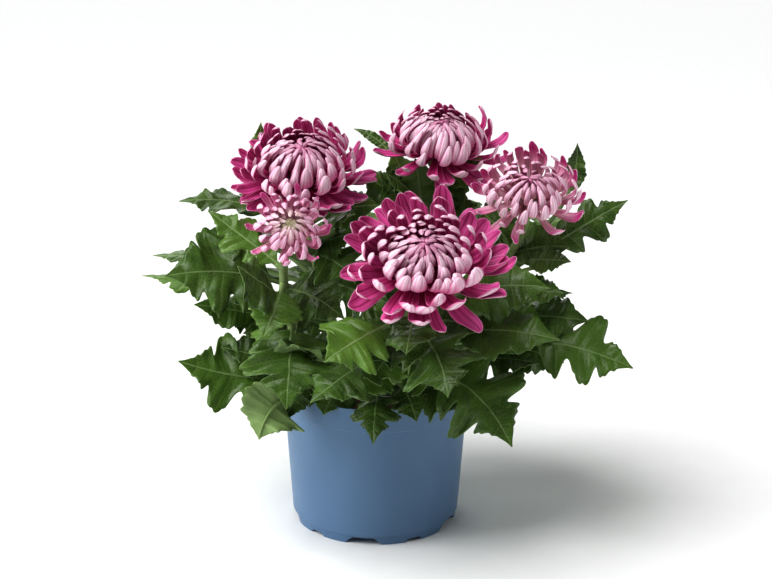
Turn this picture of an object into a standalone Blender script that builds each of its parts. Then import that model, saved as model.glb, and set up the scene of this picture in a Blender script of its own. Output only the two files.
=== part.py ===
"""A pot chrysanthemum: five flowering stems with lobed leaves, rooted in soil in a 13 cm plastic pot."""

import math
import random

import bmesh
import bpy
from mathutils import Matrix, Vector

MM = 0.001  # sizes below are in millimetres
GAP = 0.3  # clearance between pieces that rest on each other

# Pot: a tapered nursery pot with a rim band and a notched foot ring
POT_HEIGHT = 101.0
POT_WALL = 1.2
POT_SEGMENTS = 36
RIM_RADIUS = 65.3
RIM_BAND_DEPTH = 16.0
BAND_FOOT_RADIUS = 64.5
BODY_TOP_RADIUS = 63.7
BODY_FOOT_RADIUS = 58.4
FOOT_RING_HEIGHT = 6.5
FOOT_RING_RADIUS = 56.8
FOOT_RING_WALL = 2.2
FOOT_RING_FLARE = 0.8
BASE_UNDERSIDE = 5.0
BASE_THICKNESS = 1.6
BASE_CORNER = 0.6  # extra thickness where the wall meets the base
SEAM_STEP = 0.8  # height of the chamfer under the rim band
# Notches: first direction, depth, width at the top and at the foot in degrees
NOTCH_COUNT = 5
DEEP_NOTCH = (-98.0, 4.6, 15.0, 28.0)
SHALLOW_NOTCH = (-62.0, 2.2, 9.0, 14.0)
NOTCH_REACH = 6.0  # how far a cutter reaches to each side of the ring's radius
CUT_MARGIN = 1.0  # how far a cutter runs past the faces it opens
DRAIN_HOLES = 6
DRAIN_RADIUS = 4.0
DRAIN_CIRCLE = 38.0

# Soil
SOIL_EDGE = 86.5
SOIL_CROWN = 3.0
SOIL_LUMP = 1.1
SOIL_SEGMENTS = 20
SOIL_RINGS = (0.72, 0.44, 0.18)
SOIL_SEED = 5
HOLE_FLOOR = 64.0
HOLE_TOP = 98.0
HOLE_RADIUS = 3.6
CUTTER_SIDES = 8

# Stems: each path runs from its foot in the soil to the flower's calyx
STEM_FOOT_RADIUS = 3.2
STEM_TOP_RADIUS = 2.7
STEM_SIDES = 6
STEM_SPANS = 7  # straight lengths that a stem's rod is made of over its first joint
STEMS = {
    "left": ((-14, 8, 66), (-14, 8, 90), (-26, 13, 122), (-40, 18, 168), (-48, 21, 208), (-50, 17.6, 229.4)),
    "rear": ((10, 16, 66), (10, 16, 90), (17, 24, 125), (30, 38, 183), (37, 44, 221), (40.8, 43.1, 239.7)),
    "front": ((4, -16, 66), (4, -16, 90), (9, -30, 114), (20, -50, 152), (28, -66, 182), (30, -73, 192.7)),
    "young": (
        (-16, -12, 66), (-16, -12, 90), (-36, -26, 116), (-56, -40, 152), (-60, -50, 190), (-55, -64, 215)),
    "right": ((18, -2, 66), (18, -2, 90), (38, -4, 116), (72, -4, 162), (96, -5, 202), (102.6, -9, 223)),
}

# Blooms: seat of the flower on its calyx, lean to the front and to the right in degrees, calyx radius
SEATS = {
    "left": ((-50, 14, 236.5), 27.0, 0.0, 9.5),
    "rear": ((42, 42, 247.5), 8.0, 9.0, 9.0),
    "front": ((30, -78, 199), 38.0, 0.0, 10.0),
    "young": ((-55, -70, 220.7), 44.5, 0.0, 7.5),
    "right": ((103, -13, 230), 30.0, 3.0, 8.5),
}
CALYX_HEIGHT = 9.0
CALYX_FOOT_RADIUS = 3.2
CALYX_SIDES = 10

# Each bloom: florets, core radius, core height over the seat, then the rule from the outer to the inner
# florets: (share of the way in, reach from the core's centre, root angle, tip angle, width). Angles are
# counted from the flower's axis
BLOOMS = {
    "left": (43, 15.0, 9.5, (
        (0.00, 47, 116, 96, 13.5), (0.22, 44, 102, 74, 12.5), (0.42, 38, 88, 54, 12.0),
        (0.62, 33, 72, 36, 10.5), (0.82, 28, 52, 18, 8.5), (1.00, 25, 26, 5, 5.5))),
    "rear": (37, 14.0, 9.5, (
        (0.00, 42, 118, 102, 12.5), (0.22, 39, 106, 72, 12.0), (0.42, 35, 92, 50, 12.0),
        (0.62, 31, 74, 32, 10.5), (0.82, 27, 52, 16, 8.0), (1.00, 25, 26, 5, 5.5))),
    "front": (48, 15.0, 10.0, (
        (0.00, 55, 114, 92, 15.0), (0.22, 50, 102, 80, 14.5), (0.40, 42, 92, 62, 13.0),
        (0.58, 33, 76, 40, 11.5), (0.80, 28, 54, 20, 9.0), (1.00, 25, 26, 5, 5.5))),
    "young": (26, 9.0, 6.5, (
        (0.00, 28, 108, 80, 7.5), (0.35, 25, 92, 58, 7.0), (0.65, 19, 72, 36, 6.0),
        (1.00, 15, 32, 8, 4.5))),
    "right": (32, 10.5, 8.0, (
        (0.00, 38, 114, 88, 9.0), (0.30, 35, 96, 66, 9.0), (0.60, 28, 74, 42, 7.5),
        (0.82, 23, 50, 20, 6.5), (1.00, 20, 26, 6, 5.0))),
}
DOME_FLATNESS = 0.84  # height of a flower's dome against its width
# Long loose florets: bloom, direction round the axis in degrees, reach, root angle, tip angle, width
LOOSE_FLORETS = (
    ("front", -6, 62, 108, 90, 8.0),
    ("front", -82, 53, 110, 100, 8.0),
    ("rear", -88, 46, 116, 124, 9.0),
    ("rear", -52, 46, 116, 120, 9.0),
    ("rear", -10, 46, 112, 98, 9.0),
    ("rear", -32, 49, 118, 126, 9.0),
    ("rear", 4, 41, 98, 60, 9.0),
    ("rear", 18, 50, 104, 90, 8.0),
)
GOLDEN_ANGLE = 137.508
# Stations of a floret: share of its length, share of its width
FLORET = ((0.0, 0.35), (0.48, 0.80), (0.84, 1.0), (1.0, 0.28))
FLORET_EDGE = 1.15  # half breadth of the three-sided section against half the floret's width
FLORET_KEEL = 0.40  # drop of its keel against half the floret's width
ROOT_DEPTH = 0.6  # where a floret starts inside the core, as a share of the core's radius
CURL_POWER = 1.4  # how late along its length a floret turns towards its tip angle
STRETCH_POWER = 1.35  # how early along its length a floret gets clear of the core
FLORET_STEP = 0.03  # share of the length over which a floret's direction is read
# Chance within a bloom: largest change of direction, reach, tip angle and twist, and how much calmer the
# innermost florets are
DIRECTION_CHANCE = 6.0
REACH_CHANCE = 2.5
TIP_CHANCE = 5.0
TWIST_CHANCE = 18.0
INNER_CALM = 0.6
LOOSE_TWIST = 10.0

# Leaf outlines: (midrib station, edge station, share of half width, edge lift as a share of half width)
BROAD = (
    (0.00, 0.00, 0.06, 0.00), (0.09, 0.03, 0.70, 0.10), (0.21, 0.24, 0.92, -0.12), (0.32, 0.34, 0.36, 0.08),
    (0.48, 0.55, 1.00, -0.06), (0.61, 0.61, 0.38, 0.10), (0.77, 0.80, 0.58, -0.04), (1.00, 1.00, 0.02, 0.00),
)
OVAL = (
    (0.00, 0.00, 0.08, 0.00), (0.16, 0.14, 0.80, 0.12), (0.38, 0.40, 1.00, -0.10), (0.53, 0.53, 0.68, 0.10),
    (0.72, 0.76, 0.70, -0.08), (1.00, 1.00, 0.03, 0.00),
)
PETIOLE_HALF_WIDTH = 1.5
LEAST_HALF_WIDTH = 0.5
LEAST_PETIOLE = 0.06  # share of the leaf's whole length
LEAF_THICKNESS = 0.9
LEAF_CUP = 0.12  # rise of a blade's edges against half its width
FAR_EDGE_LIFT = -0.6  # lift of the second edge against that of the first

# Leaves of each stem: height of the joint on the stem, tip, blade length, width,
# lean of the upper face (x, y), bow of the midrib (x, y, z), outline
LEAVES = {
    "left": (
        (200, (-136, 22, 221), 64, 42, (0, -0.6), (0, 0, 8), BROAD),
        (176, (-126, 20, 194), 50, 44, (0, -0.6), (0, 0, 14), OVAL),
        (160, (-162, 62, 172), 72, 42, (0, -0.4), (0, 0, 16), BROAD),
        (150, (-141, -22, 182), 76, 66, (0, -0.75), (0, 0, 18), BROAD),
        (134, (-168, 48, 160), 72, 36, (0, -0.3), (0, 0, 18), BROAD),
        (208, (-82, -2, 224), 30, 22, (0, -0.6), (0, -4, 4), OVAL),
        (188, (-82, 60, 268), 40, 16, (0, -1.2), (-20, 34, -8), OVAL),
        (200, (-14, -20, 222), 34, 28, (0, -0.8), (0, 0, 6), OVAL),
        (184, (-14, -14, 172), 58, 50, (0, -1.6), (6, -10, 14), BROAD),
        (128, (-96, -14, 158), 34, 28, (0, -0.7), (0, 0, 8), OVAL),
        (196, (-98, 72, 214), 58, 46, (-0.2, 0.3), (0, 0, 14), BROAD),
        (166, (-108, 98, 178), 70, 54, (-0.2, 0.4), (0, 0, 20), BROAD),
        (140, (-82, 122, 140), 74, 56, (-0.2, 0.5), (0, 6, 26), BROAD),
        (114, (-138, 48, 112), 72, 54, (-0.3, 0), (0, 0, 26), BROAD),
        (110, (-88, 92, 92), 62, 54, (-0.2, 0.4), (0, 0, 30), BROAD),
        (152, (-40, 84, 158), 50, 46, (0, 0.8), (0, 0, 12), OVAL),
        (206, (2, 6, 222), 44, 34, (0, -0.9), (0, 0, 6), OVAL),
        (168, (10, -20, 160), 56, 48, (0, -1.4), (0, -10, 8), BROAD),
    ),
    "young": (
        (188, (-109, -30, 216), 54, 36, (0, -0.4), (0, 0, 2), BROAD),
        (170, (-86, -84, 204), 44, 44, (0, -0.9), (6, -16, 4), OVAL),
        (178, (-20, -66, 164), 50, 46, (0, -0.8), (0, -6, 14), BROAD),
        (152, (-56, -98, 114), 68, 64, (0, -0.4), (0, -16, 16), BROAD),
        (118, (-130, -50, 123), 66, 60, (0, -0.9), (0, -6, 3), BROAD),
        (108, (-70, -64, 79), 50, 44, (0.4, 3.0), (-14, -16, 22), OVAL),
        (104, (-60, -54, 88), 34, 28, (0, -0.4), (0, -8, 32), OVAL),
    ),
    "front": (
        (138, (-40, -112, 124), 62, 50, (0, -0.8), (0, -14, 14), BROAD),
        (164, (-31, -118, 153), 54, 50, (0, -0.8), (0, -14, 10), BROAD),
        (172, (19, -120, 159), 46, 36, (0, -0.5), (0, -12, 6), OVAL),
        (158, (45, -122, 132), 62, 54, (0, -0.5), (6, -18, 14), BROAD),
        (108, (-1, -92, 88), 50, 36, (0, -0.5), (0, -18, 26), BROAD),
        (112, (27, -80, 99), 34, 26, (0, -0.5), (0, -14, 18), OVAL),
        (150, (68, -70, 157), 42, 34, (0, -0.8), (0, 0, 12), OVAL),
        (118, (84, -92, 85), 80, 68, (0.2, -0.5), (6, -12, 36), BROAD),
        (166, (112, -60, 184), 64, 44, (0, -0.8), (0, 4, 10), OVAL),
        (142, (118, -76, 154), 72, 50, (0, -0.9), (0, -2, 14), OVAL),
        (124, (-22, -78, 112), 50, 42, (0, -0.7), (0, -8, 16), OVAL),
        (132, (-2, -90, 130), 44, 40, (0, -0.9), (0, -4, 8), OVAL),
    ),
    "right": (
        (165, (124, -32, 172), 34, 28, (0, -0.6), (0, 0, 6), OVAL),
        (146, (143, -24, 153), 52, 48, (0, -0.7), (0, 0, 12), OVAL),
        (120, (171, -50, 127), 68, 66, (0, -0.7), (0, -6, 24), BROAD),
        (110, (117, -14, 107), 48, 42, (0.2, -0.4), (0, 0, 22), OVAL),
        (128, (92, -40, 132), 44, 40, (0, -0.8), (0, -4, 12), OVAL),
        (188, (138, 22, 262), 40, 20, (0, -1.0), (34, 26, -8), OVAL),
        (172, (169, 8, 228), 60, 50, (0, -0.9), (0, 6, 2), BROAD),
        (184, (129, -26, 192), 32, 24, (0, -0.6), (0, 0, 6), OVAL),
        (194, (66, 2, 222), 30, 26, (0, -0.8), (0, 0, 4), OVAL),
        (182, (64, -34, 190), 44, 42, (0, -1.1), (4, -6, 8), OVAL),
        (140, (140, 48, 148), 62, 46, (0.2, 0.2), (0, 0, 14), BROAD),
        (126, (134, 84, 130), 72, 54, (0.2, 0.3), (0, 0, 18), BROAD),
        (108, (112, 56, 94), 62, 48, (0.3, 0.2), (0, 0, 28), BROAD),
        (182, (142, 58, 204), 56, 44, (0.2, 0.2), (0, 0, 10), BROAD),
        (138, (88, 60, 150), 48, 44, (0.1, 0.8), (0, 0, 12), OVAL),
        (104, (76, 84, 88), 52, 46, (0.1, 0.4), (0, 0, 34), OVAL),
    ),
    "rear": (
        (202, (-14, 76, 264), 44, 15, (0, -1.0), (-14, 30, -12), OVAL),
        (198, (16, 4, 232), 34, 30, (0, -0.8), (0, 0, 2), OVAL),
        (194, (2, 32, 236), 44, 36, (0, -0.7), (0, 0, 0), OVAL),
        (122, (52, -22, 142), 52, 44, (0, -1.0), (0, 0, 14), OVAL),
        (190, (76, 96, 202), 58, 46, (0.2, 0.3), (0, 0, 16), BROAD),
        (172, (12, 116, 190), 68, 52, (0, 0.4), (0, 0, 18), BROAD),
        (150, (92, 108, 160), 72, 54, (0.2, 0.4), (0, 0, 22), BROAD),
        (132, (-22, 130, 140), 76, 56, (0, 0.5), (0, 0, 28), BROAD),
        (116, (54, 128, 112), 76, 58, (0.1, 0.5), (0, 6, 34), BROAD),
        (106, (-16, 112, 90), 60, 54, (0, 0.5), (0, 6, 34), BROAD),
        (184, (-40, 100, 206), 56, 46, (-0.1, 0.4), (0, 0, 12), BROAD),
        (140, (36, 96, 134), 48, 44, (0, 0.8), (0, 0, 16), OVAL),
        (212, (6, 16, 242), 32, 28, (0, -0.9), (0, -4, 2), OVAL),
        (200, (74, 8, 217), 38, 30, (0, -0.8), (0, 0, 4), OVAL),
    ),
}

# The bud's side shoot leaves the right stem
BUD_SHOOT = ((78, -4, 172), (96, -12, 181), (112, -15, 186))
BUD_RADIUS = 4.6
SHOOT_RADIUS = 1.3


def new_material(name, colour, roughness):
    """A plain non-metallic finish."""
    material = bpy.data.materials.new(name)
    material.use_nodes = True
    shader = material.node_tree.nodes["Principled BSDF"]
    shader.inputs["Base Color"].default_value = (*colour, 1)
    shader.inputs["Roughness"].default_value = roughness
    shader.inputs["Metallic"].default_value = 0.0
    material.diffuse_color = (*colour, 1)
    return material


def new_object(name, mesh, collection):
    part = bpy.data.objects.new(name, mesh)
    collection.objects.link(part)
    return part


def mesh_from(bm, name):
    """The finished bmesh as a mesh data-block."""
    mesh = bpy.data.meshes.new(name)
    bm.to_mesh(mesh)
    bm.free()
    return mesh


def apply_modifiers(part):
    """Replaces the object's mesh with its evaluated one."""
    bpy.context.view_layer.update()
    graph = bpy.context.evaluated_depsgraph_get()
    finished = bpy.data.meshes.new_from_object(part.evaluated_get(graph))
    part.modifiers.clear()
    part.data = finished


def keep_main_body(part):
    """Drops loose scraps and sealed hollows that a union leaves."""
    bm = bmesh.new()
    bm.from_mesh(part.data)
    bmesh.ops.triangulate(bm, faces=bm.faces[:])
    unseen = set(bm.faces)
    islands = []
    while unseen:
        front = [unseen.pop()]
        island = list(front)
        while front:
            for edge in front.pop().edges:
                for face in edge.link_faces:
                    if face in unseen:
                        unseen.remove(face)
                        island.append(face)
                        front.append(face)
        islands.append(island)
    islands.sort(key=len)
    scraps = [face for island in islands[:-1] for face in island]
    bmesh.ops.delete(bm, geom=scraps, context="FACES")
    bm.to_mesh(part.data)
    bm.free()


def fuse(part, helpers):
    """Joins every object of the helper collection into the part and removes them."""
    # The manifold solver joins these closed pieces in seconds, where the exact one is slow
    union = part.modifiers.new("Fuse", "BOOLEAN")
    union.operation = "UNION"
    union.operand_type = "COLLECTION"
    union.collection = helpers
    union.solver = "MANIFOLD"
    apply_modifiers(part)
    for helper in list(helpers.objects):
        bpy.data.objects.remove(helper)
    keep_main_body(part)


def along_path(points, share):
    """The place at a share of a smooth curve through the points."""
    spans = len(points) - 1
    place = min(share * spans, spans - 1e-6)
    span = int(place)
    t = place - span
    a, b, c, d = (Vector(points[min(max(span + k, 0), spans)]) for k in (-1, 0, 1, 2))
    slope, bend, twist = c - a, 2 * a - 5 * b + 4 * c - d, 3 * b - a - 3 * c + d
    return 0.5 * (2 * b + slope * t + bend * t * t + twist * t**3)


def point_at_height(points, height):
    """The place on a stem at a height over the ground."""
    low, high = 0.0, 1.0
    for _ in range(30):
        middle = (low + high) / 2
        if along_path(points, middle).z < height:
            low = middle
        else:
            high = middle
    return along_path(points, low)


def rod(name, points, radii, sides, collection):
    """A round rod along the points as a closed mesh."""
    curve = bpy.data.curves.new(name, "CURVE")
    curve.dimensions = "3D"
    curve.bevel_depth = MM
    curve.bevel_resolution = (sides - 4) // 2
    curve.use_fill_caps = True
    spline = curve.splines.new("POLY")
    spline.points.add(len(points) - 1)
    for place, point, radius in zip(spline.points, points, radii):
        place.co = (*(Vector(point) * MM), 1)
        place.radius = radius
    guide = new_object(name, curve, collection)
    bpy.context.view_layer.update()
    graph = bpy.context.evaluated_depsgraph_get()
    mesh = bpy.data.meshes.new_from_object(guide.evaluated_get(graph))
    bpy.data.objects.remove(guide)
    bm = bmesh.new()
    bm.from_mesh(mesh)
    bmesh.ops.remove_doubles(bm, verts=bm.verts[:], dist=1e-6)
    bmesh.ops.recalc_face_normals(bm, faces=bm.faces[:])
    bm.to_mesh(mesh)
    bm.free()
    return new_object(name, mesh, collection)


def seat_matrix(name):
    """Frame of a flower: Z along its axis, leaning to the front and to the right."""
    seat, lean_front, lean_right, _ = SEATS[name]
    to_the_right = Matrix.Rotation(math.radians(lean_right), 4, "Y")
    to_the_front = Matrix.Rotation(math.radians(lean_front), 4, "X")
    return Matrix.Translation(Vector(seat) * MM) @ to_the_right @ to_the_front


def inner_radius(height):
    """Radius of the pot's inside between its floor and its rim band."""
    floor, top = BASE_UNDERSIDE + BASE_THICKNESS, POT_HEIGHT - RIM_BAND_DEPTH
    floor_radius, top_radius = BODY_FOOT_RADIUS - POT_WALL - BASE_CORNER, BODY_TOP_RADIUS - POT_WALL
    return floor_radius + (top_radius - floor_radius) * (height - floor) / (top - floor)


def pot_profile():
    """Half section of the pot: from its floor up the inside, over the rim and down the outside."""
    top, band_foot = POT_HEIGHT, POT_HEIGHT - RIM_BAND_DEPTH
    floor = BASE_UNDERSIDE + BASE_THICKNESS
    ring_inner = FOOT_RING_RADIUS - FOOT_RING_WALL
    return (
        (0, floor),
        (inner_radius(floor), floor),
        (inner_radius(band_foot), band_foot),
        (RIM_RADIUS - POT_WALL, top),
        (RIM_RADIUS, top),
        (BAND_FOOT_RADIUS, band_foot),
        (BODY_TOP_RADIUS, band_foot - SEAM_STEP),
        (BODY_FOOT_RADIUS, FOOT_RING_HEIGHT),
        (FOOT_RING_RADIUS + FOOT_RING_FLARE, FOOT_RING_HEIGHT),
        (FOOT_RING_RADIUS, 0),
        (ring_inner, 0),
        (ring_inner, BASE_UNDERSIDE),
        (0, BASE_UNDERSIDE),
    )


def notch_cutter(direction, depth, top_angle, foot_angle, collection):
    """A wedge that opens downwards and cuts one scallop from the foot ring."""
    bm = bmesh.new()
    bmesh.ops.create_cube(bm, size=2)
    for vertex in bm.verts:
        low = vertex.co.z < 0
        spread = math.radians(foot_angle if low else top_angle)
        vertex.co.x = FOOT_RING_RADIUS + NOTCH_REACH * vertex.co.x
        vertex.co.y = vertex.co.y * math.tan(spread / 2) * vertex.co.x
        vertex.co.z = -CUT_MARGIN if low else depth
    bmesh.ops.transform(bm, matrix=Matrix.Rotation(math.radians(direction), 4, "Z"), verts=bm.verts)
    bmesh.ops.scale(bm, vec=(MM, MM, MM), verts=bm.verts)
    bmesh.ops.recalc_face_normals(bm, faces=bm.faces[:])
    cutter = new_object("notch_cutter", mesh_from(bm, "notch_cutter"), collection)
    cutter.hide_render = True
    cutter.display_type = "WIRE"


def cylinder_cutter(name, centre, radius, low, high, collection):
    """An upright cylinder that cuts a plain round hole."""
    bm = bmesh.new()
    sides, depth = CUTTER_SIDES, high - low
    bmesh.ops.create_cone(bm, segments=sides, cap_ends=True, radius1=radius, radius2=radius, depth=depth)
    bmesh.ops.translate(bm, vec=(centre[0], centre[1], (low + high) / 2), verts=bm.verts)
    bmesh.ops.scale(bm, vec=(MM, MM, MM), verts=bm.verts)
    cutter = new_object(name, mesh_from(bm, name), collection)
    cutter.hide_render = True
    cutter.display_type = "WIRE"


def cut(part, cutters):
    difference = part.modifiers.new("Cut", "BOOLEAN")
    difference.operation = "DIFFERENCE"
    difference.operand_type = "COLLECTION"
    difference.collection = cutters


def make_pot(parts, cutters):
    """The turned pot, with its scalloped foot ring and drain holes."""
    profile = bpy.data.meshes.new("pot")
    points = [(radius * MM, 0, height * MM) for radius, height in pot_profile()]
    profile.from_pydata(points, [(i, i + 1) for i in range(len(points) - 1)], [])
    pot = new_object("pot", profile, parts)
    turn = pot.modifiers.new("Turn", "SCREW")
    turn.steps = POT_SEGMENTS
    turn.render_steps = POT_SEGMENTS
    turn.use_merge_vertices = True
    turn.merge_threshold = 0.00001
    for first, depth, top_angle, foot_angle in (DEEP_NOTCH, SHALLOW_NOTCH):
        for turn_number in range(NOTCH_COUNT):
            direction = first + 360 / NOTCH_COUNT * turn_number
            notch_cutter(direction, depth, top_angle, foot_angle, cutters)
    low, high = BASE_UNDERSIDE - CUT_MARGIN, BASE_UNDERSIDE + BASE_THICKNESS + CUT_MARGIN
    for hole in range(DRAIN_HOLES):
        angle = 2 * math.pi * hole / DRAIN_HOLES
        centre = (DRAIN_CIRCLE * math.cos(angle), DRAIN_CIRCLE * math.sin(angle))
        cylinder_cutter("drain_cutter", centre, DRAIN_RADIUS, low, high, cutters)
    cut(pot, cutters)
    pot.data.materials.append(new_material("blue_polypropylene", (0.125, 0.245, 0.375), 0.5))


def make_soil(parts, cutters):
    """The potting soil, with a lumpy crown and a plain hole for each stem."""
    draw = random.Random(SOIL_SEED)
    floor = BASE_UNDERSIDE + BASE_THICKNESS
    clear_of_flats = math.cos(math.pi / POT_SEGMENTS)
    bm = bmesh.new()
    bmesh.ops.create_cone(bm, segments=SOIL_SEGMENTS, cap_ends=False, radius1=1, radius2=1, depth=1)
    rims = [edge for edge in bm.edges if all(vertex.co.z > 0 for vertex in edge.verts)]
    for ring in SOIL_RINGS:
        made = bmesh.ops.extrude_edge_only(bm, edges=rims)["geom"]
        rims = [item for item in made if isinstance(item, bmesh.types.BMEdge)]
        for vertex in {vertex for edge in rims for vertex in edge.verts}:
            vertex.co.xy = vertex.co.xy.normalized() * ring
    bmesh.ops.holes_fill(bm, edges=bm.edges[:])
    for vertex in bm.verts:
        share = vertex.co.xy.length
        if vertex.co.z < 0:
            radius, height = inner_radius(floor) * clear_of_flats - GAP, floor + GAP
        else:
            radius = (inner_radius(SOIL_EDGE) * clear_of_flats - GAP) * share
            height = SOIL_EDGE + SOIL_CROWN * (1 - share * share)
            if height > SOIL_EDGE + SOIL_LUMP:
                height += SOIL_LUMP * draw.uniform(-1, 1)
        vertex.co = (*(vertex.co.xy.normalized() * radius), height)
    bmesh.ops.triangulate(bm, faces=bm.faces[:])
    bmesh.ops.recalc_face_normals(bm, faces=bm.faces[:])
    bmesh.ops.scale(bm, vec=(MM, MM, MM), verts=bm.verts)
    soil = new_object("soil", mesh_from(bm, "soil"), parts)
    for path in STEMS.values():
        cylinder_cutter("hole_cutter", path[0], HOLE_RADIUS, HOLE_FLOOR, HOLE_TOP, cutters)
    cut(soil, cutters)
    soil.data.materials.append(new_material("peat_soil", (0.035, 0.022, 0.014), 0.95))


def leaf(name, joint, tip, blade, width, lean, bow, outline, collection):
    """One leaf: a petiole strip and a lobed, waved blade along an arched midrib, as a thin closed sheet."""
    start, end = Vector(joint), Vector(tip)
    middle = (start + end) / 2 + Vector(bow)
    up = Vector((lean[0], lean[1], 1))
    length = ((middle - start).length + (end - middle).length + (end - start).length) / 2
    petiole = max(1 - blade / length, LEAST_PETIOLE)

    def frame_at(share):
        """Place, side direction and upper normal at a share of the whole leaf."""
        place = start * (1 - share) ** 2 + middle * 2 * share * (1 - share) + end * share * share
        along = ((middle - start) * (1 - share) + (end - middle) * share).normalized()
        normal = (up - along * up.dot(along)).normalized()
        return place, along.cross(normal), normal

    rows = [(0.0, 0.0, PETIOLE_HALF_WIDTH, 0.0)]
    for midrib, edge, share, lift in outline:
        half = max(width / 2 * share, LEAST_HALF_WIDTH)
        midrib, edge = (petiole + (1 - petiole) * station for station in (midrib, edge))
        rows.append((midrib, edge, half, lift * half))
    bm = bmesh.new()
    bmesh.ops.create_grid(bm, x_segments=len(rows) - 1, y_segments=2, size=1)
    for vertex in bm.verts:
        row = rows[round((vertex.co.x + 1) / 2 * (len(rows) - 1))]
        across = round(vertex.co.y)
        place, side, normal = frame_at(row[1] if across else row[0])
        lift = row[3] * (1 if across > 0 else FAR_EDGE_LIFT)
        vertex.co = place + side * across * row[2] + normal * (lift + LEAF_CUP * row[2]) * abs(across)
    bmesh.ops.triangulate(bm, faces=bm.faces[:])
    bmesh.ops.recalc_face_normals(bm, faces=bm.faces[:])
    bmesh.ops.solidify(bm, geom=bm.faces[:], thickness=LEAF_THICKNESS)
    bmesh.ops.triangulate(bm, faces=bm.faces[:])
    bmesh.ops.recalc_face_normals(bm, faces=bm.faces[:])
    bmesh.ops.scale(bm, vec=(MM, MM, MM), verts=bm.verts)
    return new_object(name, mesh_from(bm, name), collection)


def calyx(name, collection):
    """The green cup of bracts under a flower, seated on the end of its stem."""
    bm = bmesh.new()
    low, high, depth = CALYX_FOOT_RADIUS, SEATS[name][3], CALYX_HEIGHT
    bmesh.ops.create_cone(bm, segments=CALYX_SIDES, cap_ends=True, radius1=low, radius2=high, depth=depth)
    bmesh.ops.translate(bm, vec=(0, 0, -CALYX_HEIGHT / 2), verts=bm.verts)
    bmesh.ops.scale(bm, vec=(MM, MM, MM), verts=bm.verts)
    bmesh.ops.transform(bm, matrix=seat_matrix(name), verts=bm.verts)
    return new_object("calyx", mesh_from(bm, "calyx"), collection)


def bud(collection):
    """A closed green bud on the end of the side shoot."""
    bm = bmesh.new()
    bmesh.ops.create_uvsphere(bm, u_segments=8, v_segments=5, radius=BUD_RADIUS)
    bmesh.ops.translate(bm, vec=BUD_SHOOT[-1], verts=bm.verts)
    bmesh.ops.scale(bm, vec=(MM, MM, MM), verts=bm.verts)
    return new_object("bud", mesh_from(bm, "bud"), collection)


def make_leafy_stem(name, parts, helpers, material):
    """A stem with its leaves and calyx, as one solid."""
    path = STEMS[name]
    first = 1 / (len(path) - 1)
    shares = [first + (1 - first) * span / STEM_SPANS for span in range(1, STEM_SPANS + 1)]
    points = [path[0], path[1], *(along_path(path, share) for share in shares)]
    thinning = (STEM_TOP_RADIUS - STEM_FOOT_RADIUS) / (len(points) - 1)
    radii = [STEM_FOOT_RADIUS + thinning * number for number in range(len(points))]
    stem = rod("leafy_stem_" + name, points, radii, STEM_SIDES, parts)
    calyx(name, helpers)
    for height, tip, blade, width, lean, bow, outline in LEAVES[name]:
        joint = point_at_height(path, height)
        leaf("leaf", joint, tip, blade, width, lean, bow, outline, helpers)
    if name == "right":
        rod("shoot", BUD_SHOOT, [SHOOT_RADIUS] * len(BUD_SHOOT), STEM_SIDES, helpers)
        bud(helpers)
    fuse(stem, helpers)
    stem.data.materials.clear()
    stem.data.materials.append(material)


def floret_line(core, reach, root_angle, tip_angle, share):
    """Middle line of a floret: distance from the flower's axis and height over the core's centre."""
    angle = math.radians(root_angle + (tip_angle - root_angle) * share**CURL_POWER)
    root = core * ROOT_DEPTH
    distance = root + (reach - root) * (1 - (1 - share) ** STRETCH_POWER)
    return Vector((math.sin(angle) * distance, math.cos(angle) * distance * DOME_FLATNESS))


def floret(frame, height, core, direction, reach, root_angle, tip_angle, width, twist, collection):
    """One three-sided ray floret: it leaves the core low, swings out and curls up towards its tip."""
    steps = len(FLORET) - 1
    bm = bmesh.new()
    bmesh.ops.create_cone(bm, segments=3, cap_ends=True, radius1=1, radius2=0.9, depth=1)
    long_edges = [edge for edge in bm.edges if abs(edge.verts[0].co.z - edge.verts[1].co.z) > 0.5]
    bmesh.ops.subdivide_edges(bm, edges=long_edges, cuts=steps - 1, use_grid_fill=False)
    for vertex in bm.verts:
        share, breadth = FLORET[round((vertex.co.z + 0.5) * steps)]
        corner = math.atan2(vertex.co.x, vertex.co.y)
        half = width / 2 * breadth
        section = Vector((FLORET_EDGE * math.sin(corner) * half, -FLORET_KEEL * math.cos(corner) * half))
        across, rise = Matrix.Rotation(math.radians(twist) * share, 2) @ section
        place = floret_line(core, reach, root_angle, tip_angle, share)
        before = floret_line(core, reach, root_angle, tip_angle, max(share - FLORET_STEP, 0))
        after = floret_line(core, reach, root_angle, tip_angle, min(share + FLORET_STEP, 1))
        along = (after - before).normalized()
        vertex.co = (place.x - along.y * rise, across, place.y + along.x * rise + height)
    bmesh.ops.triangulate(bm, faces=bm.faces[:])
    bmesh.ops.recalc_face_normals(bm, faces=bm.faces[:])
    bmesh.ops.scale(bm, vec=(MM, MM, MM), verts=bm.verts)
    spin = Matrix.Rotation(math.radians(direction), 4, "Z")
    bmesh.ops.transform(bm, matrix=frame @ spin, verts=bm.verts)
    return new_object("floret", mesh_from(bm, "floret"), collection)


def between(rule, share):
    """The rule's values at a share of the way from the outer to the inner florets."""
    for low, high in zip(rule, rule[1:]):
        if share <= high[0]:
            part = (share - low[0]) / (high[0] - low[0])
            return [a + (b - a) * part for a, b in zip(low[1:], high[1:])]
    return rule[-1][1:]


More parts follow.
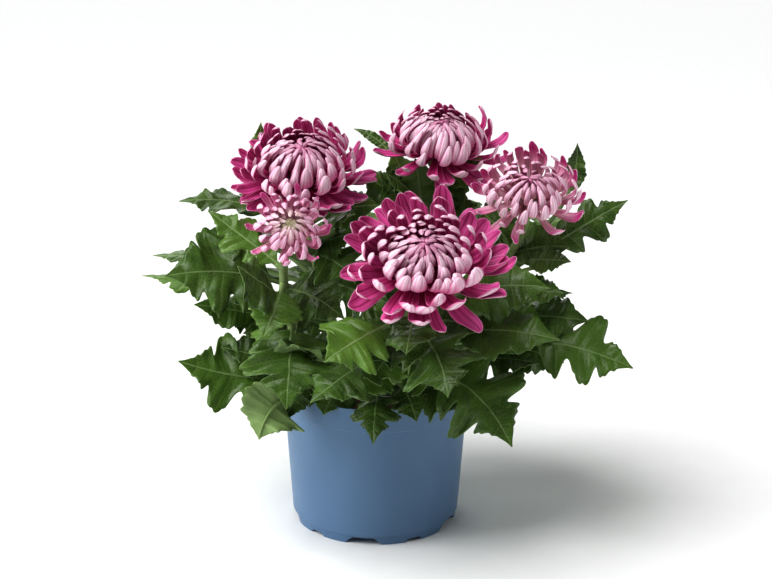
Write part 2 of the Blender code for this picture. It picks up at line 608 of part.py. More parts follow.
def make_bloom(name, parts, helpers, material):
    """A flower head: ray florets in a golden-angle spiral round a small core, as one solid."""
    count, core, height, rule = BLOOMS[name]
    frame = seat_matrix(name)
    draw = random.Random(name)
    bm = bmesh.new()
    bmesh.ops.create_uvsphere(bm, u_segments=12, v_segments=8, radius=core)
    bmesh.ops.translate(bm, vec=(0, 0, height), verts=bm.verts)
    geometry = bm.verts[:] + bm.edges[:] + bm.faces[:]
    bmesh.ops.bisect_plane(bm, geom=geometry, plane_co=(0, 0, GAP), plane_no=(0, 0, -1), clear_outer=True)
    bmesh.ops.holes_fill(bm, edges=bm.edges[:])
    bmesh.ops.triangulate(bm, faces=bm.faces[:])
    bmesh.ops.scale(bm, vec=(MM, MM, MM), verts=bm.verts)
    bmesh.ops.transform(bm, matrix=frame, verts=bm.verts)
    bloom = new_object("bloom_" + name, mesh_from(bm, "bloom"), parts)
    for number in range(count):
        share = (number + 0.5) / count
        reach, root_angle, tip_angle, width = between(rule, share)
        loose = 1 - INNER_CALM * share
        direction = number * GOLDEN_ANGLE + DIRECTION_CHANCE * draw.uniform(-1, 1)
        reach += REACH_CHANCE * draw.uniform(-1, 1) * loose
        tip_angle += TIP_CHANCE * draw.uniform(-1, 1) * loose
        twist = TWIST_CHANCE * draw.uniform(-1, 1) * loose
        floret(frame, height, core, direction, reach, root_angle, tip_angle, width, twist, helpers)
    for owner, direction, reach, root_angle, tip_angle, width in LOOSE_FLORETS:
        if owner == name:
            floret(frame, height, core, direction, reach, root_angle, tip_angle, width, LOOSE_TWIST, helpers)
    fuse(bloom, helpers)
    bloom.data.materials.clear()
    bloom.data.materials.append(material)


def main():
    for old in list(bpy.data.objects):
        bpy.data.objects.remove(old)
    scene = bpy.context.scene.collection
    parts = bpy.data.collections.new("pot_chrysanthemum")
    cutters = bpy.data.collections.new("cutters")
    pot_cutters = bpy.data.collections.new("pot_cutters")
    soil_cutters = bpy.data.collections.new("soil_cutters")
    helpers = bpy.data.collections.new("helpers")
    for collection in (parts, cutters, helpers):
        scene.children.link(collection)
    cutters.children.link(pot_cutters)
    cutters.children.link(soil_cutters)
    make_pot(parts, pot_cutters)
    make_soil(parts, soil_cutters)
    leaf_green = new_material("leaf_green", (0.055, 0.135, 0.022), 0.45)
    petal_magenta = new_material("petal_magenta", (0.42, 0.028, 0.17), 0.5)
    petal_pink = new_material("petal_pink", (0.62, 0.20, 0.38), 0.5)
    for name in STEMS:
        make_leafy_stem(name, parts, helpers, leaf_green)
    for name in BLOOMS:
        make_bloom(name, parts, helpers, petal_pink if name in ("young", "right") else petal_magenta)
    bpy.data.collections.remove(helpers)
    cutters.hide_render = True


main()
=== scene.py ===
"""A pot chrysanthemum: five flowering stems with lobed leaves, rooted in peat in a blue nursery pot."""

import math
import random

import bmesh
import bpy
import numpy as np
from mathutils import Matrix, Vector, noise


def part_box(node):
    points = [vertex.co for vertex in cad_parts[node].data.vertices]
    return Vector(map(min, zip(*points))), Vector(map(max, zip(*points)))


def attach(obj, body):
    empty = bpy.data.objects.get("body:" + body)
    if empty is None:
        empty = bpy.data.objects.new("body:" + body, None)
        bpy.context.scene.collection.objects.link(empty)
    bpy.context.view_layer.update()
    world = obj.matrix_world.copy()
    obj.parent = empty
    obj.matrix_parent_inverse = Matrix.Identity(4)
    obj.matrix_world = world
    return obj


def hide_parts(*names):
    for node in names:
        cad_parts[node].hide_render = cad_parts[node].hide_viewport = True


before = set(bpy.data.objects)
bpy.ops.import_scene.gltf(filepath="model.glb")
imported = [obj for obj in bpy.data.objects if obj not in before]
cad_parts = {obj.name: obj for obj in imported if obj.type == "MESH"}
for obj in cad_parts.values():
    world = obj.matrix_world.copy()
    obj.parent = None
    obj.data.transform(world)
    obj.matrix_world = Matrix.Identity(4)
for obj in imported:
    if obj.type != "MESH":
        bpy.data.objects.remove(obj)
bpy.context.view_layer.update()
MM = 0.001  # sizes below are in millimetres

# Pot
# A thin nursery pot, injection moulded in one piece of blue polypropylene: a rim band with a step under it,
# a tapered body, a floor with drain holes and a foot ring with scalloped notches. It stands on that ring
# and holds the peat.
POT_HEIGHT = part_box("pot")[1].z / MM
RIM_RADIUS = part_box("pot")[1].x / MM
POT_WALL = 1.2
BAND_FOOT = POT_HEIGHT - 16.0  # height of the rim band's lower edge
BAND_STEP = 0.8
BODY_TOP_RADIUS = RIM_RADIUS - 1.6
BODY_FOOT_RADIUS = RIM_RADIUS - 6.9
RING_HEIGHT = 6.5
RING_RADIUS = RIM_RADIUS - 8.5
RING_WALL = 2.2
FLOOR = 6.6  # height of the floor's upper face
UNDERSIDE = 5.0
POT_STEPS = 360
DRAIN_HOLES = 6
DRAIN_RADIUS = 4.0
DRAIN_CIRCLE = 38.0
# Notches of the foot ring: first direction, depth, width at the top and at the foot, in degrees
NOTCHES = ((-98.0, 4.6, 15.0, 26.0), (-62.0, 2.2, 9.0, 12.5))
NOTCH_SPACING = 72.0


def linear(colour):
    """A hex colour such as "#7F9FB8" as linear red, green, blue and alpha."""
    parts = [int(colour[i : i + 2], 16) / 255 for i in (1, 3, 5)]
    return (*(c / 12.92 if c <= 0.04045 else ((c + 0.055) / 1.055) ** 2.4 for c in parts), 1.0)


def add_node(tree, kind, inputs, **settings):
    """Adds a shader node. inputs gives each socket a plain value or the output socket that feeds it."""
    node = tree.nodes.new("ShaderNode" + kind)
    for name, value in settings.items():
        setattr(node, name, value)
    for socket, value in inputs.items():
        if isinstance(value, bpy.types.NodeSocket):
            tree.links.new(value, node.inputs[socket])
        else:
            node.inputs[socket].default_value = value
    return node


def new_material(name, roughness, ior):
    """A material with its node tree and its Principled shader."""
    material = bpy.data.materials.new(name)
    material.use_nodes = True
    shader = material.node_tree.nodes["Principled BSDF"]
    shader.inputs["Roughness"].default_value = roughness
    shader.inputs["IOR"].default_value = ior
    return material, material.node_tree, shader


def make_piece(bm, name, materials, slot, *nodes):
    """The finished bmesh as a smooth piece of the plant, in place of the named solids."""
    bmesh.ops.scale(bm, vec=(MM, MM, MM), verts=bm.verts)
    mesh = bpy.data.meshes.new(name)
    bm.to_mesh(mesh)
    bm.free()
    mesh.shade_smooth()
    for material in materials:
        mesh.materials.append(material)
    piece = bpy.data.objects.new(name, mesh)
    bpy.context.scene.collection.objects.link(piece)
    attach(piece, "root")
    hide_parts(*nodes)
    return piece


def notch_rise(angle):
    """Height of the foot ring's lower edge at an angle in degrees."""
    for first, depth, top_width, foot_width in NOTCHES:
        off = abs((angle - first + NOTCH_SPACING / 2) % NOTCH_SPACING - NOTCH_SPACING / 2)
        if off < foot_width / 2:
            return depth * min(1, (foot_width / 2 - off) / ((foot_width - top_width) / 2))
    return 0.0


# Moulded polypropylene: an even, faintly waxy satin with a very fine grain and soft scuffs
POT_BLUE = "#5F7FA0"
POT_BLUE_DEEP = "#567697"
POT_GRAIN_SIZE = 1.2  # drawn coarser than the mould's real 0.2 mm grain, so that it shows
polypropylene, tree, shader = new_material("moulded_polypropylene", 0.42, 1.49)
place = add_node(tree, "TexCoord", {}).outputs["Object"]
clouds = add_node(tree, "TexNoise", {"Vector": place, "Scale": 18.0, "Detail": 3.0})
shade = add_node(tree, "Mix", {0: clouds.outputs[0], 6: linear(POT_BLUE), 7: linear(POT_BLUE_DEEP)}, data_type="RGBA")
grain = add_node(tree, "TexNoise", {"Vector": place, "Scale": 1 / (POT_GRAIN_SIZE * MM), "Detail": 2.0})
relief = add_node(tree, "Bump", {"Height": grain.outputs[0], "Strength": 0.12, "Distance": 0.0002})
scuff = add_node(tree, "MapRange", {0: clouds.outputs[0], 1: 0.3, 2: 0.7, 3: 0.38, 4: 0.48})
tree.links.new(shade.outputs[2], shader.inputs["Base Color"])
tree.links.new(scuff.outputs[0], shader.inputs["Roughness"])
tree.links.new(relief.outputs[0], shader.inputs["Normal"])

bm = bmesh.new()
profile = [bm.verts.new((radius, 0, height)) for radius, height in (
    (BODY_FOOT_RADIUS - POT_WALL - 0.6, FLOOR),
    (BODY_TOP_RADIUS - POT_WALL, BAND_FOOT),
    (RIM_RADIUS - POT_WALL, POT_HEIGHT),
    (RIM_RADIUS, POT_HEIGHT),
    (RIM_RADIUS - BAND_STEP, BAND_FOOT),
    (BODY_TOP_RADIUS, BAND_FOOT - BAND_STEP),
    (BODY_FOOT_RADIUS, RING_HEIGHT),
    (RING_RADIUS + 0.8, RING_HEIGHT),
    (RING_RADIUS, 0),
    (RING_RADIUS - RING_WALL, 0),
    (RING_RADIUS - RING_WALL, UNDERSIDE),
)]
profile += [bm.edges.new(ends) for ends in zip(profile, profile[1:])]
bmesh.ops.spin(
    bm, geom=profile, cent=(0, 0, 0), axis=(0, 0, 1), angle=2 * math.pi, steps=POT_STEPS, use_merge=True)
bmesh.ops.remove_doubles(bm, verts=bm.verts[:], dist=0.001)
for vertex in bm.verts:
    if vertex.co.z < 0.001:
        vertex.co.z = notch_rise(math.degrees(math.atan2(vertex.co.y, vertex.co.x)))
hole_edges = {}
for level in (FLOOR, UNDERSIDE):
    rims = [edge for edge in bm.edges if edge.is_boundary and abs(edge.verts[0].co.z - level) < 0.01]
    for hole in range(DRAIN_HOLES):
        turn = 2 * math.pi * hole / DRAIN_HOLES
        centre = Matrix.Translation((DRAIN_CIRCLE * math.cos(turn), DRAIN_CIRCLE * math.sin(turn), level))
        circle = bmesh.ops.create_circle(bm, segments=32, radius=DRAIN_RADIUS, matrix=centre)["verts"]
        hole_edges[level, hole] = list({edge for vertex in circle for edge in vertex.link_edges})
        rims += hole_edges[level, hole]
    bmesh.ops.triangle_fill(bm, edges=rims, use_beauty=True)
for hole in range(DRAIN_HOLES):
    bmesh.ops.bridge_loops(bm, edges=hole_edges[FLOOR, hole] + hole_edges[UNDERSIDE, hole])
bmesh.ops.recalc_face_normals(bm, faces=bm.faces[:])
pot = make_piece(bm, "nursery_pot", [polypropylene], "blue_polypropylene", "pot")
pot.data.set_sharp_from_angle(angle=math.radians(30))
rounding = pot.modifiers.new("Moulded edges", "BEVEL")
rounding.width = 0.3 * MM
rounding.segments = 2
rounding.limit_method = "ANGLE"
rounding.angle_limit = math.radians(28)

# Soil
# Moist peat compost, filled loose up to 14 mm under the rim and settled by watering. Its surface is lumpy,
# with small crumbs and a few pale grains of perlite lying on it.
SOIL_EDGE = 86.5
SOIL_CROWN = 3.0
SOIL_CLEARANCE = 0.5  # from the pot's inside
SOIL_RINGS = 22
SOIL_STEPS = 96
SOIL_LUMPS = ((14.0, 1.3), (5.0, 0.9), (2.2, 0.4))  # breadth and height of each size of lump
CRUMBS = 420
CRUMB_SIZES = (0.7, 1.9)
PERLITE_SHARE = 0.07

# Damp peat: dull, with brown fibres. One pattern both raises and colours it, so the near black in the
# hollows is painted shade and the lighter raised fibres are partly a painted highlight
peat, tree, shader = new_material("damp_peat", 0.95, 1.45)
place = add_node(tree, "TexCoord", {}).outputs["Object"]
fibres_and_hollow_shade = add_node(tree, "TexNoise", {"Vector": place, "Scale": 420.0, "Detail": 5.0, "Roughness": 0.7})
shade = add_node(
    tree, "Mix", {0: fibres_and_hollow_shade.outputs[0], 6: linear("#1A120C"), 7: linear("#6A4E36")}, data_type="RGBA")
relief = add_node(tree, "Bump", {"Height": fibres_and_hollow_shade.outputs[0], "Strength": 0.8, "Distance": 0.0012})
tree.links.new(shade.outputs[2], shader.inputs["Base Color"])
tree.links.new(relief.outputs[0], shader.inputs["Normal"])

# Perlite: puffed volcanic glass, chalky white with a dull sparkle, with grey spots of painted shade where its pits
# would be
perlite, tree, shader = new_material("puffed_perlite", 0.8, 1.5)
place = add_node(tree, "TexCoord", {}).outputs["Object"]
painted_pit_shade = add_node(tree, "TexVoronoi", {"Vector": place, "Scale": 1800.0})
shade = add_node(tree, "Mix", {0: painted_pit_shade.outputs[0], 6: linear("#8F8A80"), 7: linear("#E6E2D8")}, data_type="RGBA")
tree.links.new(shade.outputs[2], shader.inputs["Base Color"])


def soil_height(x, y):
    """Height of the peat's surface, with its crown and lumps."""
    share = math.hypot(x, y) / (BODY_TOP_RADIUS - POT_WALL)
    height = SOIL_EDGE + SOIL_CROWN * (1 - share * share)
    for breadth, rise in SOIL_LUMPS:
        height += rise * noise.noise(Vector((x, y, breadth)) / breadth)
    return height


draw = random.Random(5)
bm = bmesh.new()
foot_radius = BODY_FOOT_RADIUS - POT_WALL - 0.6 - SOIL_CLEARANCE
edge_radius = BODY_TOP_RADIUS - POT_WALL - SOIL_CLEARANCE
section = [(0, FLOOR + 0.3), (foot_radius, FLOOR + 0.3)]
section += [(edge_radius * (1 - ring / SOIL_RINGS), SOIL_EDGE) for ring in range(SOIL_RINGS + 1)]
profile = [bm.verts.new((radius, 0, height)) for radius, height in section]
profile += [bm.edges.new(ends) for ends in zip(profile, profile[1:])]
bmesh.ops.spin(
    bm, geom=profile, cent=(0, 0, 0), axis=(0, 0, 1), angle=2 * math.pi, steps=SOIL_STEPS, use_merge=True)
bmesh.ops.remove_doubles(bm, verts=bm.verts[:], dist=0.001)
for vertex in bm.verts:
    if vertex.co.z > FLOOR + 1:
        vertex.co.z = soil_height(vertex.co.x, vertex.co.y)
bmesh.ops.recalc_face_normals(bm, faces=bm.faces[:])
for crumb in range(CRUMBS):
    turn, out = draw.uniform(0, 2 * math.pi), edge_radius * math.sqrt(draw.uniform(0, 0.93))
    x, y = out * math.cos(turn), out * math.sin(turn)
    size = draw.uniform(*CRUMB_SIZES)
    lie = Matrix.Translation((x, y, soil_height(x, y) + size * 0.3)) @ Matrix.Rotation(turn * 3, 4, (1, 1, 0))
    squash = Matrix.Diagonal((1, draw.uniform(0.6, 1), draw.uniform(0.5, 0.9), 1))
    lump = bmesh.ops.create_icosphere(bm, subdivisions=1, radius=size, matrix=lie @ squash)["verts"]
    if draw.random() < PERLITE_SHARE:
        for face in {face for vertex in lump for face in vertex.link_faces}:
            face.material_index = 1
soil = make_piece(bm, "peat_compost", [peat, perlite], "peat_soil", "soil")

# Stems
# Five soft green shoots, ribbed lengthwise. Each is rooted in the peat and carries one flower.
STEM_FOOT_RADIUS = 3.2
STEM_TOP_RADIUS = 2.7
STEM_SIDES = 20
STEM_SPANS = 40
STEM_RIBS = 5
RIB_DEPTH = 0.07
STEMS = {
    "left": ((-14, 8, 66), (-14, 8, 90), (-26, 13, 122), (-40, 18, 168), (-48, 21, 208), (-50, 17.6, 229.4)),
    "rear": ((10, 16, 66), (10, 16, 90), (17, 24, 125), (30, 38, 183), (37, 44, 221), (40.8, 43.1, 239.7)),
    "front": ((4, -16, 66), (4, -16, 90), (9, -30, 114), (20, -50, 152), (28, -66, 182), (30, -73, 192.7)),
    "young": ((-16, -12, 66), (-16, -12, 90), (-36, -26, 116), (-56, -40, 152), (-60, -50, 190), (-55, -64, 215)),
    "right": ((18, -2, 66), (18, -2, 90), (38, -4, 116), (72, -4, 162), (95, -5, 200), (100.6, -8, 220.5)),
}

# Soft stem skin: waxy green with pale lengthwise streaks
stem_skin, tree, shader = new_material("ribbed_stem_skin", 0.5, 1.45)
place = add_node(tree, "TexCoord", {}).outputs["Object"]
streaks = add_node(tree, "Mapping", {"Vector": place, "Scale": (900.0, 900.0, 60.0)})
grain = add_node(tree, "TexNoise", {"Vector": streaks.outputs[0], "Scale": 1.0, "Detail": 3.0})
shade = add_node(
    tree, "Mix", {0: grain.outputs[0], 6: linear("#4F6B2E"), 7: linear("#A6B981")}, data_type="RGBA")
relief = add_node(tree, "Bump", {"Height": grain.outputs[0], "Strength": 0.3, "Distance": 0.0003})
tree.links.new(shade.outputs[2], shader.inputs["Base Color"])
tree.links.new(relief.outputs[0], shader.inputs["Normal"])


def along_path(points, share):
    """The place at a share of a smooth curve through the points."""
    spans = len(points) - 1
    place = min(share * spans, spans - 1e-6)
    span = int(place)
    t = place - span
    a, b, c, d = (Vector(points[min(max(span + k, 0), spans)]) for k in (-1, 0, 1, 2))
    slope, bend, twist = c - a, 2 * a - 5 * b + 4 * c - d, 3 * b - a - 3 * c + d
    return 0.5 * (2 * b + slope * t + bend * t * t + twist * t**3)


def add_rod(bm, points, radii, sides, reference, ribs=0):
    """A closed round rod through the points: a strip rolled up, with its seam and its ends merged."""
    points = [points[0], *points, points[-1]]
    radii = [0, *radii, 0]
    spans = len(points) - 1
    grid = bmesh.ops.create_grid(bm, x_segments=spans, y_segments=sides, size=1)["verts"]
    for vertex in grid:
        number = round((vertex.co.x + 1) / 2 * spans)
        turn = math.pi * (vertex.co.y + 1)
        radius = radii[number] * (1 + RIB_DEPTH * math.cos(ribs * turn) if ribs else 1)
        along = (points[min(number + 1, spans)] - points[max(number - 1, 0)]).normalized()
        side = (reference - along * reference.dot(along)).normalized()
        vertex.co = points[number] + radius * (side * math.cos(turn) - side.cross(along) * math.sin(turn))
    bmesh.ops.remove_doubles(bm, verts=grid, dist=0.0001)
    return [vertex for vertex in grid if vertex.is_valid]


for name, path in STEMS.items():
    shares = [number / STEM_SPANS for number in range(STEM_SPANS + 1)]
    radii = [STEM_FOOT_RADIUS + (STEM_TOP_RADIUS - STEM_FOOT_RADIUS) * share for share in shares]
    bm = bmesh.new()
    add_rod(bm, [along_path(path, share) for share in shares], radii, STEM_SIDES, Vector((1, 0, 0)), STEM_RIBS)
    make_piece(bm, "stem_" + name, [stem_skin], "leaf_green", "leafy_stem_" + name)

# Leaves
# Lobed and toothed blades on short channelled stalks, dark and waxy above, grey-green and downy below,
# with a raised midrib and a side vein to each lobe. They grow from the stems all the way up.
LEAF_ROWS = 92
LEAF_COLUMNS = 5  # on each side of the midrib
LEAF_THICKNESS = 0.45
LEAF_CUPS = (-0.26, 0.12)  # rise of a blade's edges against half its width, drooping on most leaves
LEAF_ROLL = 20.0  # degrees that a blade twists on its way to the tip
LEAF_SWAY = 0.045  # sideways bend of the midrib against the leaf's length
LEAF_WAVES = ((2.3, 2.0), (5.1, 0.8))  # waves along the edge: number of them, height
LEAF_FOLDS = ((28.0, 6.5), (10.0, 2.2))  # uneven folds of a blade: breadth, height
WAVE_REACH = 15.0  # distance from the midrib at which waves and folds are full
PILLOW = 0.8  # how far the tissue swells between the veins
PILLOW_BREADTH = 4.5
FAR_EDGE_LIFT = -0.6
PETIOLE_HALF_WIDTH = 1.1
LEAST_PETIOLE = 0.06
PETIOLE_ROWS = 5
RIB_RADII = ((0.0, 2.3), (0.08, 1.5), (0.3, 1.15), (0.9, 0.35), (0.97, 0.2))  # of the midrib, from joint to tip
RIB_SPANS = 16
RIB_SIDES = 8
# Outlines run along one side from stalk to tip: midrib station, edge station, share of half width
BROAD = (
    (0.00, 0.00, 0.05), (0.05, 0.03, 0.12), (0.09, 0.07, 0.28), (0.12, 0.12, 0.48), (0.145, 0.17, 0.68),
    (0.165, 0.21, 0.78), (0.18, 0.245, 0.78), (0.195, 0.27, 0.84), (0.21, 0.295, 0.84), (0.225, 0.31, 0.74),
    (0.25, 0.325, 0.60), (0.28, 0.335, 0.46), (0.31, 0.355, 0.40), (0.34, 0.39, 0.46), (0.365, 0.435, 0.66),
    (0.385, 0.47, 0.82), (0.40, 0.50, 0.86), (0.415, 0.52, 0.94), (0.43, 0.55, 1.00), (0.445, 0.575, 0.99),
    (0.46, 0.59, 0.92), (0.475, 0.62, 0.92), (0.49, 0.64, 0.84), (0.51, 0.645, 0.70), (0.54, 0.645, 0.54),
    (0.57, 0.65, 0.42), (0.60, 0.665, 0.38), (0.625, 0.69, 0.46), (0.645, 0.715, 0.54), (0.66, 0.735, 0.55),
    (0.68, 0.75, 0.46), (0.705, 0.775, 0.44), (0.73, 0.79, 0.36), (0.76, 0.81, 0.29), (0.79, 0.84, 0.28),
    (0.82, 0.86, 0.20), (0.86, 0.89, 0.16), (0.90, 0.92, 0.11), (0.95, 0.96, 0.05), (1.00, 1.00, 0.01),
)
OVAL = (
    (0.00, 0.00, 0.06), (0.05, 0.03, 0.16), (0.10, 0.08, 0.38), (0.14, 0.13, 0.60), (0.18, 0.20, 0.76),
    (0.21, 0.24, 0.80), (0.24, 0.27, 0.79), (0.28, 0.325, 0.93), (0.31, 0.35, 0.92), (0.34, 0.37, 0.88),
    (0.38, 0.425, 1.00), (0.41, 0.455, 0.97), (0.45, 0.48, 0.86), (0.49, 0.53, 0.89), (0.53, 0.57, 0.80),
    (0.57, 0.60, 0.72), (0.61, 0.65, 0.76), (0.65, 0.69, 0.64), (0.69, 0.72, 0.52), (0.73, 0.76, 0.50),
    (0.77, 0.79, 0.38), (0.81, 0.83, 0.34), (0.85, 0.865, 0.24), (0.90, 0.91, 0.16), (0.95, 0.955, 0.07),
    (1.00, 1.00, 0.01),
)
SIDE_VEINS = {BROAD: (0.13, 0.21, 0.44, 0.53, 0.67, 0.80), OVAL: (0.16, 0.26, 0.36, 0.44, 0.60, 0.72)}
# Rise of one edge along the blade, as a share of half its width
EDGE_LIFTS = {
    BROAD: ((0.00, 0.09, 0.21, 0.32, 0.48, 0.61, 0.77, 1.00), (0.00, 0.16, -0.26, 0.10, -0.22, 0.14, -0.16, 0.00)),
    OVAL: ((0.00, 0.16, 0.38, 0.53, 0.72, 1.00), (0.00, 0.16, -0.20, 0.12, -0.18, 0.00)),
}
